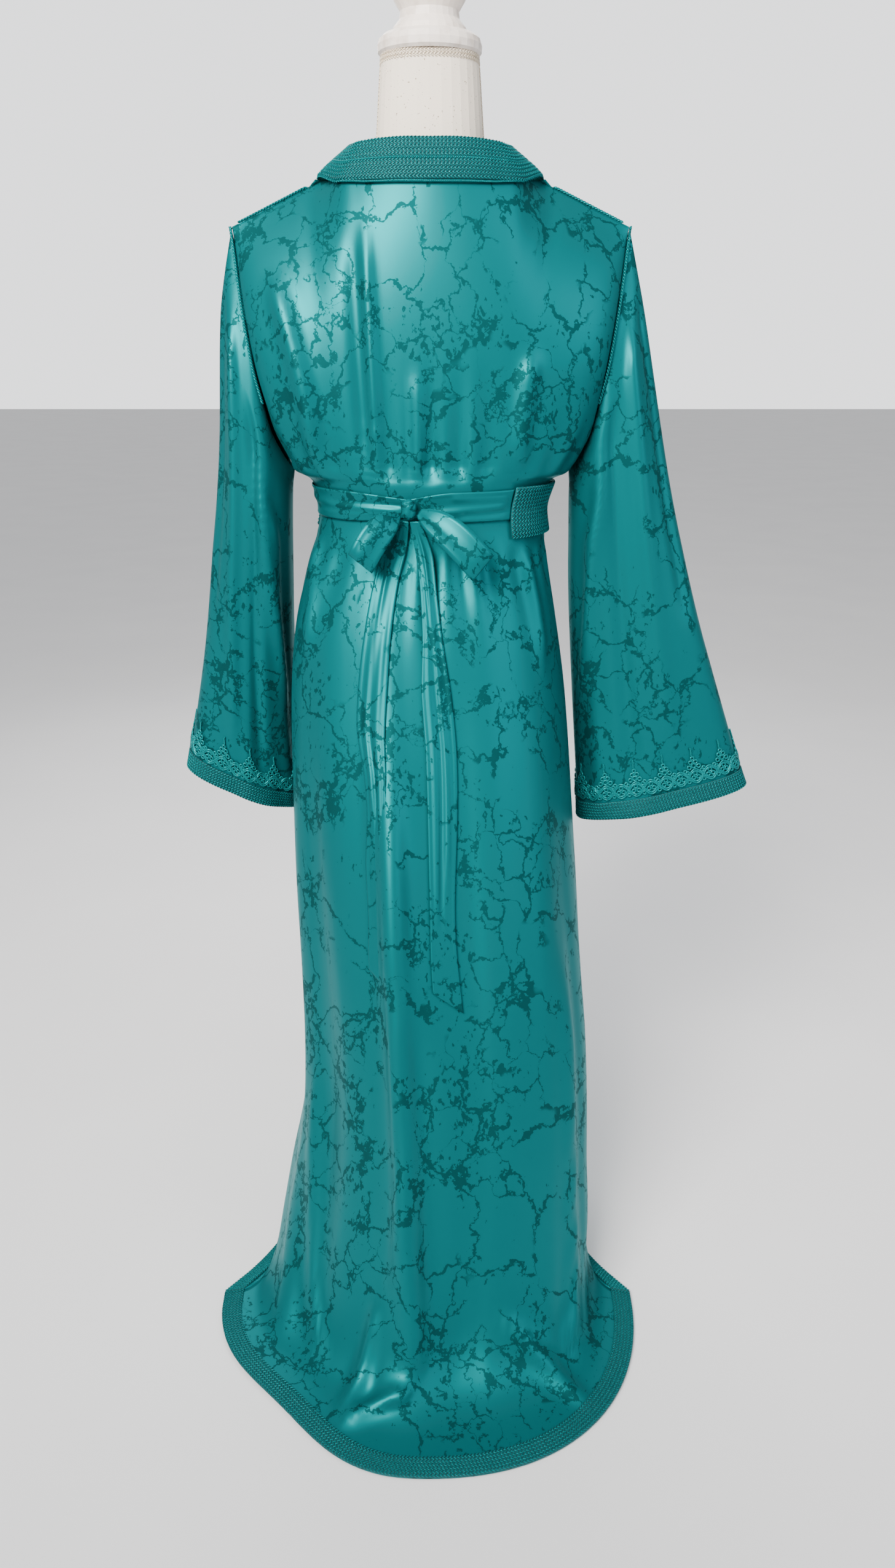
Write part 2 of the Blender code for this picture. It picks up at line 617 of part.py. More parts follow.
class Garment:
    """The kaftan's walls, worked out once and shared by its trims."""

    def __init__(self):
        self.back, self.left, self.right = body_grids()
        self.underarm = len(BODICE_SHARES) - 1
        self.back_out = grid_normals(self.back, False)
        self.left_out = grid_normals(self.left, False)
        self.right_out = grid_normals(self.right, False)
        for grid, normals in self.pairs():
            self.point_out(grid, normals)
        self.share_seams()

    def pairs(self):
        """Return each panel's points with its normals."""
        return (
            (self.back, self.back_out),
            (self.left, self.left_out),
            (self.right, self.right_out),
        )

    def point_out(self, grid, normals):
        """Turn a panel's normals away from the body's middle."""
        middle = np.array([0.0, 0.02, 0.0])
        away = grid - middle
        away[..., 2] = 0.02
        if np.sum(away * normals) < 0.0:
            normals *= -1.0

    def share_seams(self):
        """Give the meeting edges of two panels the same wall direction and move them apart."""
        under = self.underarm
        half = SEAM_GAP / 2.0
        side_left = mean_normals(self.back_out[under:, 0], self.left_out[under:, -1])
        side_right = mean_normals(self.back_out[under:, -1], self.right_out[under:, -1])
        self.back_out[under:, 0] = side_left
        self.left_out[under:, -1] = side_left
        self.back_out[under:, -1] = side_right
        self.right_out[under:, -1] = side_right
        for column, inside, out, grid in ((0, 1, side_left, self.left), (-1, -2, side_right, self.right)):
            edge = self.back[under:, column].copy()
            hint = unit(grid[under:, -2] - edge) - unit(self.back[under:, inside] - edge)
            step = apart(edge, out, hint) * half
            self.back[under:, column] -= step
            grid[under:, -1] += step
        middle = self.left_out[:, 0] + self.right_out[:, 0]
        middle[:, 0] = 0.0
        middle = unit(middle)
        self.left_out[:, 0] = middle
        self.right_out[:, 0] = middle
        self.left[:, 0, 0] += half
        self.right[:, 0, 0] -= half
        self.share_shoulder(self.left, self.left_out)
        self.share_shoulder(self.right, self.right_out)

    def share_shoulder(self, grid, normals):
        """Stand the walls upright along the shoulder seam."""
        half = SEAM_GAP / 2.0
        for row, out, side in ((self.back[0], self.back_out[0], 1.0), (grid[0], normals[0], -1.0)):
            for column in range(len(row)):
                x = row[column, 0]
                same_side = x * grid[0, -1, 0] > 0.0
                if abs(x) >= NECK_HALF - 0.002 and same_side:
                    slope = (NECK_SIDE_Z - SHOULDER_TIP_Z) / (SHOULDER_HALF - NECK_HALF)
                    out[column] = unit(np.array([math.copysign(slope, x), 0.0, 1.0]))
                    row[column, 1] += half * side

    def armhole(self, wearer_left):
        """Return the armhole loop's points and normals, tip first, down the back and up the front."""
        column = 0 if wearer_left else -1
        grid, normals = (self.left, self.left_out) if wearer_left else (self.right, self.right_out)
        under = self.underarm
        points = np.concatenate([self.back[: under + 1, column], grid[1:under, -1][::-1]])
        facing = np.concatenate([self.back_out[: under + 1, column], normals[1:under, -1][::-1]])
        points = points.copy()
        points[0, 1] = 0.0
        points[under, 1] = 0.0
        return points, facing.copy()

    def armhole_inside(self, wearer_left):
        """Return the panels' own points next to the armhole loop."""
        column = 1 if wearer_left else -2
        grid = self.left if wearer_left else self.right
        under = self.underarm
        return np.concatenate([self.back[: under + 1, column], grid[1:under, -2][::-1]])


class Sleeve:
    """One sleeve, lofted from its armhole loop to its cuff."""

    def __init__(self, garment, rows, wearer_left):
        self.side = 1.0 if wearer_left else -1.0
        self.garment = garment
        self.wearer_left = wearer_left
        loop, facing = garment.armhole(wearer_left)
        count = len(loop)
        under = garment.underarm
        turns = np.zeros(count)
        turns[: under + 1] = np.linspace(0.0, math.pi, under + 1)
        turns[under:] = np.linspace(math.pi, 2.0 * math.pi, count - under + 1)[:-1]
        places = np.concatenate([np.linspace(0.0, len(rows) - 2.0, SLEEVE_RINGS - 1), [len(rows) - 1.0]])
        table = smooth_rows(rows, places)
        self.rings = []
        own = self.ring(SleeveRow(*table[0]), turns, 0.0)
        for number, values in enumerate(table):
            fade = max(0.0, 1.0 - number / SLEEVE_BLEND_RINGS) ** 2
            skew = min(1.0, number / SLEEVE_SKEW_RINGS)
            ring = self.ring(SleeveRow(*values), turns, skew)
            self.rings.append(ring + (loop - own) * fade)
        self.rings = np.array(self.rings)
        self.normals = self.outward()
        shared = unit(self.normals[0] + facing)
        self.normals[0] = shared
        hint = np.array([self.side, 0.0, 0.0])
        ring = np.concatenate([loop[-1:], loop, loop[:1]])
        facing = np.concatenate([shared[-1:], shared, shared[:1]])
        step = apart(ring, facing, hint)[1:-1]
        self.rings[0] = loop + step * ARMHOLE_GAP
        self.set_panel_edges(shared)

    def ring(self, row, turns, skew):
        """Return one ring of the sleeve."""
        points = []
        for turn in turns:
            share = (1.0 - math.cos(turn)) / 2.0
            x = row.outer_x + (row.inner_x - row.outer_x) * share
            y = row.outer_y + (row.inner_y - row.outer_y) * share
            z = row.outer_z + (row.inner_z - row.outer_z) * share
            swell = abs(math.sin(turn)) ** SLEEVE_SWELL_POWER
            if turn <= math.pi:
                lean = math.exp(-(((share - SLEEVE_CREASE_SHARE) / SLEEVE_CREASE_WIDTH) ** 2))
                y += row.back_depth * (swell + SLEEVE_CREASE_HEIGHT * skew * lean)
            else:
                y -= row.front_depth * swell
            points.append((self.side * x, y, z))
        return np.array(points)

    def outward(self):
        """Return the outward normals of the rings."""
        around = np.roll(self.rings, -1, axis=1) - np.roll(self.rings, 1, axis=1)
        down = np.gradient(self.rings, axis=0)
        normals = unit(np.cross(around, down))
        middle = self.rings.mean(axis=1, keepdims=True)
        if np.sum((self.rings - middle) * normals) < 0.0:
            normals = -normals
        return normals

    def set_panel_edges(self, shared):
        """Give the panels' armhole edges the sleeve's wall direction."""
        garment = self.garment
        under = garment.underarm
        column = 0 if self.wearer_left else -1
        normals = garment.left_out if self.wearer_left else garment.right_out
        garment.back_out[: under + 1, column] = shared[: under + 1]
        normals[0, -1] = shared[0]
        normals[under, -1] = shared[under]
        normals[1:under, -1] = shared[under + 1 :][::-1]

    def build(self, name, cuff_name, satin, braid, collection):
        """Make the sleeve and its cuff braid."""
        shell(name, self.rings, self.normals, SLEEVE_WALL, satin, collection, closed=True)
        cuff = self.rings[-2:].copy()
        facing = self.normals[-2:]
        cuff[0] += unit(cuff[1] - cuff[0]) * CUFF_TRIM
        cuff[1] += unit(cuff[0] - cuff[1]) * CUFF_TRIM
        lifted = cuff + facing * (LAY_GAP + BRAID_WALL)
        shell(cuff_name, lifted, facing, BRAID_WALL, braid, collection, closed=True)

    def cord(self, name, braid, collection):
        """Make the cord that covers the armhole seam, open at the underarm."""
        loop, facing = self.garment.armhole(self.wearer_left)
        under = self.garment.underarm
        order = list(range(under + CORD_SKIP_FRONT, len(loop))) + list(range(0, under - CORD_SKIP_BACK))
        shared = self.normals[0]
        inward = self.garment.armhole_inside(self.wearer_left)
        climb = np.maximum(
            np.sum(unit(self.rings[1] - self.rings[0]) * shared, axis=1),
            np.sum(unit(inward - loop) * shared, axis=1),
        )
        climb = np.clip(climb, 0.0, CORD_STEEPEST)[:, None]
        lift = (CORD_RADIUS + CORD_CLEAR) / np.sqrt(1.0 - climb**2)
        path = loop[order] + (shared * lift)[order]
        tube(name, path, CORD_RADIUS, braid, collection)


def neck_rows(garment):
    """Return the neck edge, a line just below it and their normals, from front middle round the back."""
    reach = NECK_HALF + 0.001
    edge = []
    below = []
    for grid, out, order in (
        (garment.left, garment.left_out, 1),
        (garment.back, garment.back_out, 1),
        (garment.right, garment.right_out, -1),
    ):
        own = [i for i, point in enumerate(grid[0]) if abs(point[0]) < reach]
        if grid is not garment.back:
            own = own[:-1][::order]
        for column in own:
            point = grid[0, column]
            lower = grid[1, column]
            near = min(1.0, (reach - abs(point[0])) / COLLAR_TAPER)
            lap = COLLAR_CORNER_LAP
            if grid is garment.back:
                lap += (COLLAR_LAP - COLLAR_CORNER_LAP) * near
            if abs(point[0]) > reach - 0.002:
                lower = grid[0, column - 1 if point[0] > 0.0 else column + 1]
            edge.append(np.concatenate([point, out[0, column]]))
            below.append(np.concatenate([point + (lower - point) * lap, out[0, column]]))
    return np.array(edge), np.array(below)


def build_collar(garment, braid, collection):
    """Make the standing collar band that laps over the neck edge, from front middle round to front middle."""
    edge, below = neck_rows(garment)
    lift = LAY_GAP + BRAID_WALL + COLLAR_CLEAR
    edge_out = unit(edge[:, 3:])
    rows = [below[:, :3] + unit(below[:, 3:]) * lift, edge[:, :3] + edge_out * (lift + COLLAR_CLEAR)]
    low = rows[1]
    for step in COLLAR_STEPS:
        row = []
        for x, y, z in low:
            reach = NECK_BACK_Y if y >= 0.0 else NECK_FRONT_Y
            share = min(1.0, y / reach)
            rise = COLLAR_SIDE_RISE + (COLLAR_RISE - COLLAR_SIDE_RISE) * share
            lean = COLLAR_SIDE_LEAN + (COLLAR_LEAN - COLLAR_SIDE_LEAN) * share
            inward = unit(np.array([x * COLLAR_LEAN_X, y * COLLAR_LEAN_Y, 0.0]))
            move = inward * lean * step**COLLAR_LEAN_POWER
            row.append((x - move[0], y - move[1], z + rise * step))
        rows.append(np.array(row))
    grid = np.array(rows)
    grid[:, 0, 0] = SEAM_GAP
    grid[:, -1, 0] = -SEAM_GAP
    normals = grid_normals(grid, False)
    if np.sum(normals[:, len(low) // 2, 1]) < 0.0:
        normals = -normals
    normals[0] = unit(below[:, 3:])
    normals[1] = unit(edge_out + normals[2])
    normals[:, 0, 0] = 0.0
    normals[:, -1, 0] = 0.0
    normals = unit(normals)
    shell("neck_band", grid, normals, BRAID_WALL, braid, collection)


def place_for_height(height):
    """Return the loop row place whose back middle lies at a height."""
    low = 0.0
    high = len(LOOPS) - 1.0
    for _ in range(40):
        middle = (low + high) / 2.0
        if smooth_rows(LOOPS, middle)[0][1] > height:
            low = middle
        else:
            high = middle
    return low


def back_point(place, x):
    """Return the back's outer point at a row place and a distance from the middle."""
    low = 0.0
    high = math.pi
    for _ in range(40):
        middle = (low + high) / 2.0
        if loop_point(place, middle)[0] > x:
            low = middle
        else:
            high = middle
    return loop_point(place, low)


def ribbon(name, grid, facing, material, collection):
    """Make a ribbon's wall from rows of points across it."""
    normals = grid_normals(grid, False)
    if np.sum(normals * facing) < 0.0:
        normals = -normals
    shell(name, grid, normals, RIBBON_WALL, material, collection)


def build_tail(name, rows, satin, collection):
    """Make one hanging end of the tied ribbon, lying on the skirt."""
    grid = []
    for row in smooth_rows(rows, np.linspace(0.0, len(rows) - 1.0, 2 * len(rows) - 1)):
        height, centre, width, lift = row
        place = place_for_height(height)
        line = []
        for share in TAIL_ACROSS:
            point = back_point(place, centre + share * width)
            line.append(point + np.array([0.0, lift + RIBBON_WALL, 0.0]))
        grid.append(line)
    grid = np.array(grid)
    facing = np.zeros_like(grid)
    facing[..., 1] = 1.0
    ribbon(name, grid, facing, satin, collection)


LoopStep = namedtuple("LoopStep", "along out width")
LOOP_STEPS = (
    LoopStep(0.00, 0.004, 0.26),
    LoopStep(0.18, 0.011, 0.70),
    LoopStep(0.40, 0.015, 0.92),
    LoopStep(0.65, 0.016, 1.00),
    LoopStep(0.86, 0.014, 1.00),
    LoopStep(0.96, 0.010, 1.00),
    LoopStep(1.00, 0.005, 1.00),
    LoopStep(0.97, 0.000, 1.00),
    LoopStep(0.86, -0.003, 1.00),
    LoopStep(0.65, -0.004, 0.98),
    LoopStep(0.40, -0.003, 0.88),
    LoopStep(0.18, -0.001, 0.66),
    LoopStep(0.00, 0.001, 0.26),
)


# How far a loop arches above the straight line from root to tip.
LOOP_BOW = 0.008
BowLoop = namedtuple("BowLoop", "root tip width")
LOOP_LEFT = BowLoop((0.0388, 0.1180, 1.0040), (0.083, 0.142, 0.950), 0.036)
LOOP_RIGHT = BowLoop((0.0134, 0.1180, 1.0055), (-0.062, 0.146, 0.945), 0.038)


def build_loop(name, loop, satin, collection):
    """Make one drooping bow loop between its root at the knot and its tip."""
    start = np.array(loop.root)
    end = np.array(loop.tip)
    width = loop.width
    ahead = end - start
    level = unit(np.array([ahead[0], 0.0, ahead[2]]))
    across = np.array([-level[2], 0.0, level[0]])
    away = np.array([0.0, 1.0, 0.0])
    grid = []
    steps = smooth_rows(LOOP_STEPS, np.linspace(0.0, len(LOOP_STEPS) - 1.0, 2 * len(LOOP_STEPS) - 1))
    for along, out, share in steps:
        sag = np.array([0.0, 0.0, LOOP_BOW * math.sin(math.pi * min(1.0, along))])
        centre = start + ahead * along + away * out + sag
        grid.append([centre + across * width * share * side for side in LOOP_ACROSS])
    grid = np.array(grid)
    middle = grid.mean(axis=(0, 1))
    ribbon(name, grid, grid - middle, satin, collection)


def build_belt(garment, satin, braid, collection):
    """Make the stiff belt panel, the two ties to the knot and the knot."""
    top = garment.underarm + 1
    rows = [top, top + 1, top + 2]
    loop = np.concatenate([garment.back, garment.right[:, ::-1][:, 1:], garment.left[:, 1:]], axis=1)
    out = np.concatenate([garment.back_out, garment.right_out[:, ::-1][:, 1:], garment.left_out[:, 1:]], axis=1)
    loop = loop[rows]
    out = out[rows]
    out[..., 2] *= BELT_TILT
    out = unit(out)
    angles = np.degrees(np.arctan2(loop[1, :, 1], loop[1, :, 0])) % 360.0
    middle = [i for i, a in enumerate(angles) if BELT_START_DEG <= a <= BELT_END_DEG]
    panel = loop[:, middle] + out[:, middle] * (BELT_LIFT + BRAID_WALL)
    shell("belt_front", panel, out[:, middle], BRAID_WALL, braid, collection)
    right_start = angles[middle[0]] - TIE_GAP_RIGHT_DEG
    left_start = angles[middle[-1]] + TIE_GAP_LEFT_DEG - 360.0
    build_tie("belt_tie_right", loop, out, angles, right_start, TIE_RIGHT_END_DEG, satin, collection)
    build_tie("belt_tie_left", loop, out, angles, left_start, TIE_LEFT_END_DEG, satin, collection)


def tie_point(loop, out, angles, turn, height, lift):
    """Return a point lifted off the waist at a turn and a height."""
    order = np.argsort((angles + 90.0) % 360.0)
    keys = ((angles + 90.0) % 360.0)[order]
    where = (turn + 90.0) % 360.0
    points = []
    facing = []
    for row in range(3):
        points.append([np.interp(where, keys, loop[row, order, axis]) for axis in range(3)])
        facing.append([np.interp(where, keys, out[row, order, axis]) for axis in range(3)])
    points = np.array(points)
    facing = np.array(facing)
    heights = points[::-1, 2]
    place = [np.interp(height, heights, points[::-1, axis]) for axis in range(3)]
    normal = unit(np.array([np.interp(height, heights, facing[::-1, axis]) for axis in range(3)]))
    return np.array(place) + normal * lift, normal


def build_tie(name, loop, out, angles, start, end, satin, collection):
    """Make a tie that runs on the waist from the belt panel to the knot, narrowing at the knot."""
    grid = []
    normals = []
    for share in np.linspace(0.0, 1.0, TIE_STEPS):
        turn = start + (end - start) * share
        late = max(0.0, (share - TIE_NARROW_FROM) / (1.0 - TIE_NARROW_FROM))
        narrow = 1.0 - TIE_NARROW_BY * late**TIE_NARROW_POWER
        centre = TIE_CENTRE_Z - TIE_DROP * share
        line = []
        facing = []
        for side in (0.5, 0.0, -0.5):
            height = centre + side * TIE_WIDTH * narrow
            point, normal = tie_point(loop, out, angles, turn, height, TIE_LIFT + RIBBON_WALL)
            line.append(point)
            facing.append(normal)
        grid.append(line)
        normals.append(facing)
    shell(name, np.array(grid), np.array(normals), RIBBON_WALL, satin, collection)


def build_knot(satin, collection):
    """Make the tied knot as a soft lump."""
    points = []
    rings = KNOT_RINGS
    sides = KNOT_SIDES
    width, depth, height = KNOT_SIZE
    centre = np.array([KNOT_X, KNOT_Y, KNOT_Z])
    faces = []
    for ring in range(rings):
        lift = math.pi * (ring + 0.5) / rings
        for side in range(sides):
            turn = 2.0 * math.pi * side / sides
            flat = abs(math.sin(lift)) ** KNOT_END_POWER
            x = 0.5 * width * flat * math.copysign(abs(math.cos(turn)) ** KNOT_CORNER_POWER, math.cos(turn))
            y = 0.5 * depth * flat * math.copysign(abs(math.sin(turn)) ** KNOT_CORNER_POWER, math.sin(turn))
            points.append(centre + np.array([x, y, 0.5 * height * math.cos(lift)]))
    for ring in range(rings - 1):
        for side in range(sides):
            after = (side + 1) % sides
            near = ring * sides
            faces.append((near + side, near + after, near + sides + after, near + sides + side))
    faces.append(tuple(range(sides)))
    last = (rings - 1) * sides
    faces.append(tuple(last + side for side in range(sides)))
    add_mesh("belt_knot", points, faces, satin, collection)


def oval_stack(name, rows, linen, collection):
    """Make one closed solid from a stack of oval rings."""
    points = []
    faces = []
    power = 2.0 / TORSO_SQUARENESS
    for row in rows:
        for side in range(TORSO_SIDES):
            turn = 2.0 * math.pi * side / TORSO_SIDES
            x = row.half_width * math.copysign(abs(math.cos(turn)) ** power, math.cos(turn))
            far = row.back_y if math.sin(turn) >= 0.0 else -row.front_y
            y = far * math.copysign(abs(math.sin(turn)) ** power, math.sin(turn))
            points.append((x, y, row.z))
    for level in range(len(rows) - 1):
        for side in range(TORSO_SIDES):
            after = (side + 1) % TORSO_SIDES
            near = level * TORSO_SIDES
            faces.append((near + side, near + after, near + TORSO_SIDES + after, near + TORSO_SIDES + side))
    faces.append(tuple(range(TORSO_SIDES)))
    last = (len(rows) - 1) * TORSO_SIDES
    faces.append(tuple(last + side for side in range(TORSO_SIDES)))
    add_mesh(name, points, faces, linen, collection)


def build_form(linen, collection):
    """Make the limbless padded form: its torso, and its neck on top."""
    seat = TORSO[TORSO_ROWS - 1]
    neck = (seat._replace(z=seat.z + NECK_GAP),) + TORSO[TORSO_ROWS:]
    oval_stack("form_torso", TORSO[:TORSO_ROWS], linen, collection)
    oval_stack("form_neck", neck, linen, collection)


def build_stand(wood, steel, collection):
    """Make the neck cap, its knob, the pole and the base."""
    turned("neck_cap", CAP_PROFILE, CAP_SIDES, wood, collection)
    turned("neck_knob", KNOB, KNOB_SIDES, wood, collection)
    pole = (TurnedRow(POLE_RADIUS, POLE_LOW_Z), TurnedRow(POLE_RADIUS, POLE_TOP_Z - POLE_GAP))
    turned("stand_pole", pole, POLE_SIDES, steel, collection)
    turned("stand_base", BASE_PROFILE, BASE_SIDES, wood, collection)


def build_trims(garment, braid, collection):
    """Make the braids that lie on the panels' hems and front edges."""
    last = len(garment.back) - 1
    wide = BACK_COLUMNS - 1
    edge = FRONT_COLUMNS - 1
    pieces = (
        ("hem_band_back", garment.back, garment.back_out, (last - 1, last), (0, wide)),
        ("hem_band_left", garment.left, garment.left_out, (last - 1, last), (0, edge)),
        ("hem_band_right", garment.right, garment.right_out, (last - 1, last), (0, edge)),
        ("front_band_left", garment.left, garment.left_out, (1, last - 1), (0, 1)),
        ("front_band_right", garment.right, garment.right_out, (1, last - 1), (0, 1)),
    )
    for name, grid, normals, rows, columns in pieces:
        on_hem = rows[0] == last - 1
        top_trim = HEM_TOP_TRIM if on_hem else BRAID_TRIM
        lift = HEM_LIFT if on_hem else BRAID_LIFT
        strip_on(name, grid, normals, rows, columns, top_trim, lift, braid, collection)


def build_shoulder_cord(garment, name, side, braid, collection):
    """Make the cord along one shoulder seam."""
    slope = unit(np.array([NECK_SIDE_Z - SHOULDER_TIP_Z, 0.0, SHOULDER_HALF - NECK_HALF]))
    lift = CORD_RADIUS + LAY_GAP + SHOULDER_CORD_CLEAR
    path = []
    for share in np.linspace(SHOULDER_CORD_FROM, SHOULDER_CORD_TO, 7):
        x = NECK_HALF + (SHOULDER_HALF - NECK_HALF) * share + slope[0] * lift
        z = NECK_SIDE_Z + (SHOULDER_TIP_Z - NECK_SIDE_Z) * share + slope[2] * lift
        path.append((side * x, 0.0, z))
    tube(name, np.array(path), CORD_RADIUS, braid, collection)


def main():
    """Build every piece of the kaftan and the form that it hangs on."""
    clear_scene()
    collection = bpy.data.collections.new("moroccan_kaftan_on_dress_form")
    bpy.context.scene.collection.children.link(collection)
    satin = make_material("teal_jacquard_satin", SATIN, 0.42, 0.0)
    braid = make_material("teal_silk_braid", BRAID, 0.35, 0.0)
    linen = make_material("cream_linen", LINEN, 0.85, 0.0)
    wood = make_material("cream_painted_wood", PAINTED_WOOD, 0.45, 0.0)
    steel = make_material("steel_pole", STEEL, 0.40, 1.0)

    garment = Garment()
    sleeve_left = Sleeve(garment, SLEEVE_LEFT, True)
    sleeve_right = Sleeve(garment, SLEEVE_RIGHT, False)
    shell("back_panel", garment.back, garment.back_out, PANEL_WALL, satin, collection)
    shell("front_left", garment.left, garment.left_out, PANEL_WALL, satin, collection)
    shell("front_right", garment.right, garment.right_out, PANEL_WALL, satin, collection)
    sleeve_left.build("sleeve_left", "cuff_band_left", satin, braid, collection)
    sleeve_right.build("sleeve_right", "cuff_band_right", satin, braid, collection)
    sleeve_left.cord("armhole_cord_left", braid, collection)
    sleeve_right.cord("armhole_cord_right", braid, collection)
    build_shoulder_cord(garment, "shoulder_cord_left", 1.0, braid, collection)
    build_shoulder_cord(garment, "shoulder_cord_right", -1.0, braid, collection)
    build_collar(garment, braid, collection)
    build_trims(garment, braid, collection)
    build_belt(garment, satin, braid, collection)
    build_knot(satin, collection)
    build_loop("bow_loop_left", LOOP_LEFT, satin, collection)
    build_loop("bow_loop_right", LOOP_RIGHT, satin, collection)
    build_tail("bow_tail_left", TAIL_LEFT, satin, collection)
    build_tail("bow_tail_right", TAIL_RIGHT, satin, collection)
    build_form(linen, collection)
    build_stand(wood, steel, collection)


if __name__ == "__main__":
    main()
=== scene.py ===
"""Looks of a teal moroccan kaftan, seen from behind on a cream dress form.

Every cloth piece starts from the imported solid's own outer points, read as a grid of rows and columns.
The grid is read again on a smooth curve at a finer step, gets its creases, and becomes a thin shell.
Braids, cords and embroidery are laid on the same smooth surface.
"""

import logging
import math
from collections.abc import Callable, Iterable
from dataclasses import dataclass, field
from enum import Enum

import bmesh
import bpy
import numpy as np
from bpy.types import Material, Node, NodeSocket, NodeTree, Object
from bmesh.types import BMEdge, BMesh, BMVert
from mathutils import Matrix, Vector


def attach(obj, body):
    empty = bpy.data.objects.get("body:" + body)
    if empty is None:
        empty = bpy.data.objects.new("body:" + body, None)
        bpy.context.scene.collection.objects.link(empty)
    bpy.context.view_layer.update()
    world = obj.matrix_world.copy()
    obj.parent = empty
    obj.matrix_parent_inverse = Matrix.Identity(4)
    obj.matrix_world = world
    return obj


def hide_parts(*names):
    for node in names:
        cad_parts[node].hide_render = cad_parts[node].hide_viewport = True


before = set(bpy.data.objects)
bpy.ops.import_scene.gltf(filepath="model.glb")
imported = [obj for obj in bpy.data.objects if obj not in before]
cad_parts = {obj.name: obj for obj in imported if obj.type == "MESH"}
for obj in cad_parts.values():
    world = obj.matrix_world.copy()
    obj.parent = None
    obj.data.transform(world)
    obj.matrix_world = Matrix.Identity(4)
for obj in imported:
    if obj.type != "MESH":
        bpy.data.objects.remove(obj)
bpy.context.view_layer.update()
LOG = logging.getLogger("kaftan")
BODY = "root"
MM = 0.001
FLOOR_GAP = 0.0012
SATIN_WALL = 0.0010
RIBBON_WALL = 0.0008


def linear(hex_colour: str) -> tuple[float, float, float, float]:
    """Turn an sRGB hex colour into linear light.

    Args:
        hex_colour: six hex digits, with or without a leading hash.

    Returns:
        Red, green, blue and alpha.
    """
    digits = hex_colour.lstrip("#")
    parts = [int(digits[place : place + 2], 16) / 255.0 for place in (0, 2, 4)]
    light = [part / 12.92 if part <= 0.04045 else ((part + 0.055) / 1.055) ** 2.4 for part in parts]
    return *light, 1.0


def add(tree: NodeTree, kind: str, links: dict | None = None, **settings) -> Node:
    """Add one node with its settings and its input links.

    Args:
        tree: the material's node tree.
        kind: the node's type name.
        links: input name or number to an output socket or a plain value.
        **settings: attributes of the node.

    Returns:
        The new node.
    """
    node = tree.nodes.new(kind)
    for name, value in settings.items():
        setattr(node, name, value)
    for name, value in (links or {}).items():
        if isinstance(value, NodeSocket):
            tree.links.new(value, node.inputs[name])
        else:
            node.inputs[name].default_value = value
    return node


def ramp(tree: NodeTree, factor: NodeSocket, low: float, high: float) -> NodeSocket:
    """Return a soft step that goes from 0 at low to 1 at high."""
    node = add(tree, "ShaderNodeMapRange", {"Value": factor, "From Min": low, "From Max": high})
    node.interpolation_type = "SMOOTHSTEP"
    return node.outputs["Result"]


def combine(tree: NodeTree, how: str, first: NodeSocket | float, second: NodeSocket | float) -> NodeSocket:
    """Return the result of one math step on two values."""
    return add(tree, "ShaderNodeMath", {0: first, 1: second}, operation=how).outputs[0]


class Look:
    """A material in the making: its node tree, its shader and its Object coordinates."""

    def __init__(self, name: str) -> None:
        """Start a plain material with this name."""
        self.material = bpy.data.materials.new(name)
        self.material.use_nodes = True
        self.tree = self.material.node_tree
        self.shader = self.tree.nodes["Principled BSDF"]
        self.place = add(self.tree, "ShaderNodeTexCoord").outputs["Object"]

    def noise(self, size_mm: float, detail: float = 2.0, rough: float = 0.5,
              at: NodeSocket | None = None) -> NodeSocket:
        """Return soft noise with grains of the given size."""
        return add(self.tree, "ShaderNodeTexNoise", {"Vector": at or self.place, "Scale": 1000.0 / size_mm,
                                                     "Detail": detail, "Roughness": rough}).outputs["Fac"]

    def stretch(self, along_z: float, at: NodeSocket | None = None) -> NodeSocket:
        """Return coordinates in which patterns are drawn out along Z."""
        return add(self.tree, "ShaderNodeMapping", {"Vector": at or self.place,
                                                    "Scale": (1.0, 1.0, along_z)}).outputs[0]

    def mix(self, factor: NodeSocket, first: str, second: str) -> None:
        """Colour the material between two hex colours."""
        links = {0: factor, 6: linear(first), 7: linear(second)}
        node = add(self.tree, "ShaderNodeMix", links, data_type="RGBA")
        self.tree.links.new(node.outputs[2], self.shader.inputs["Base Color"])

    def bump(self, height: NodeSocket, strength: float, depth: float) -> None:
        """Give the surface a fine relief."""
        node = add(self.tree, "ShaderNodeBump", {"Height": height, "Strength": strength, "Distance": depth})
        self.tree.links.new(node.outputs["Normal"], self.shader.inputs["Normal"])

    def gloss(self, factor: NodeSocket, low: float, high: float) -> None:
        """Let the roughness follow a pattern."""
        node = add(self.tree, "ShaderNodeMapRange", {"Value": factor, "To Min": low, "To Max": high})
        self.tree.links.new(node.outputs["Result"], self.shader.inputs["Roughness"])

    def set(self, values: dict) -> Material:
        """Set plain shader inputs and return the finished material."""
        for name, value in values.items():
            self.shader.inputs[name].default_value = linear(value) if isinstance(value, str) else value
        return self.material


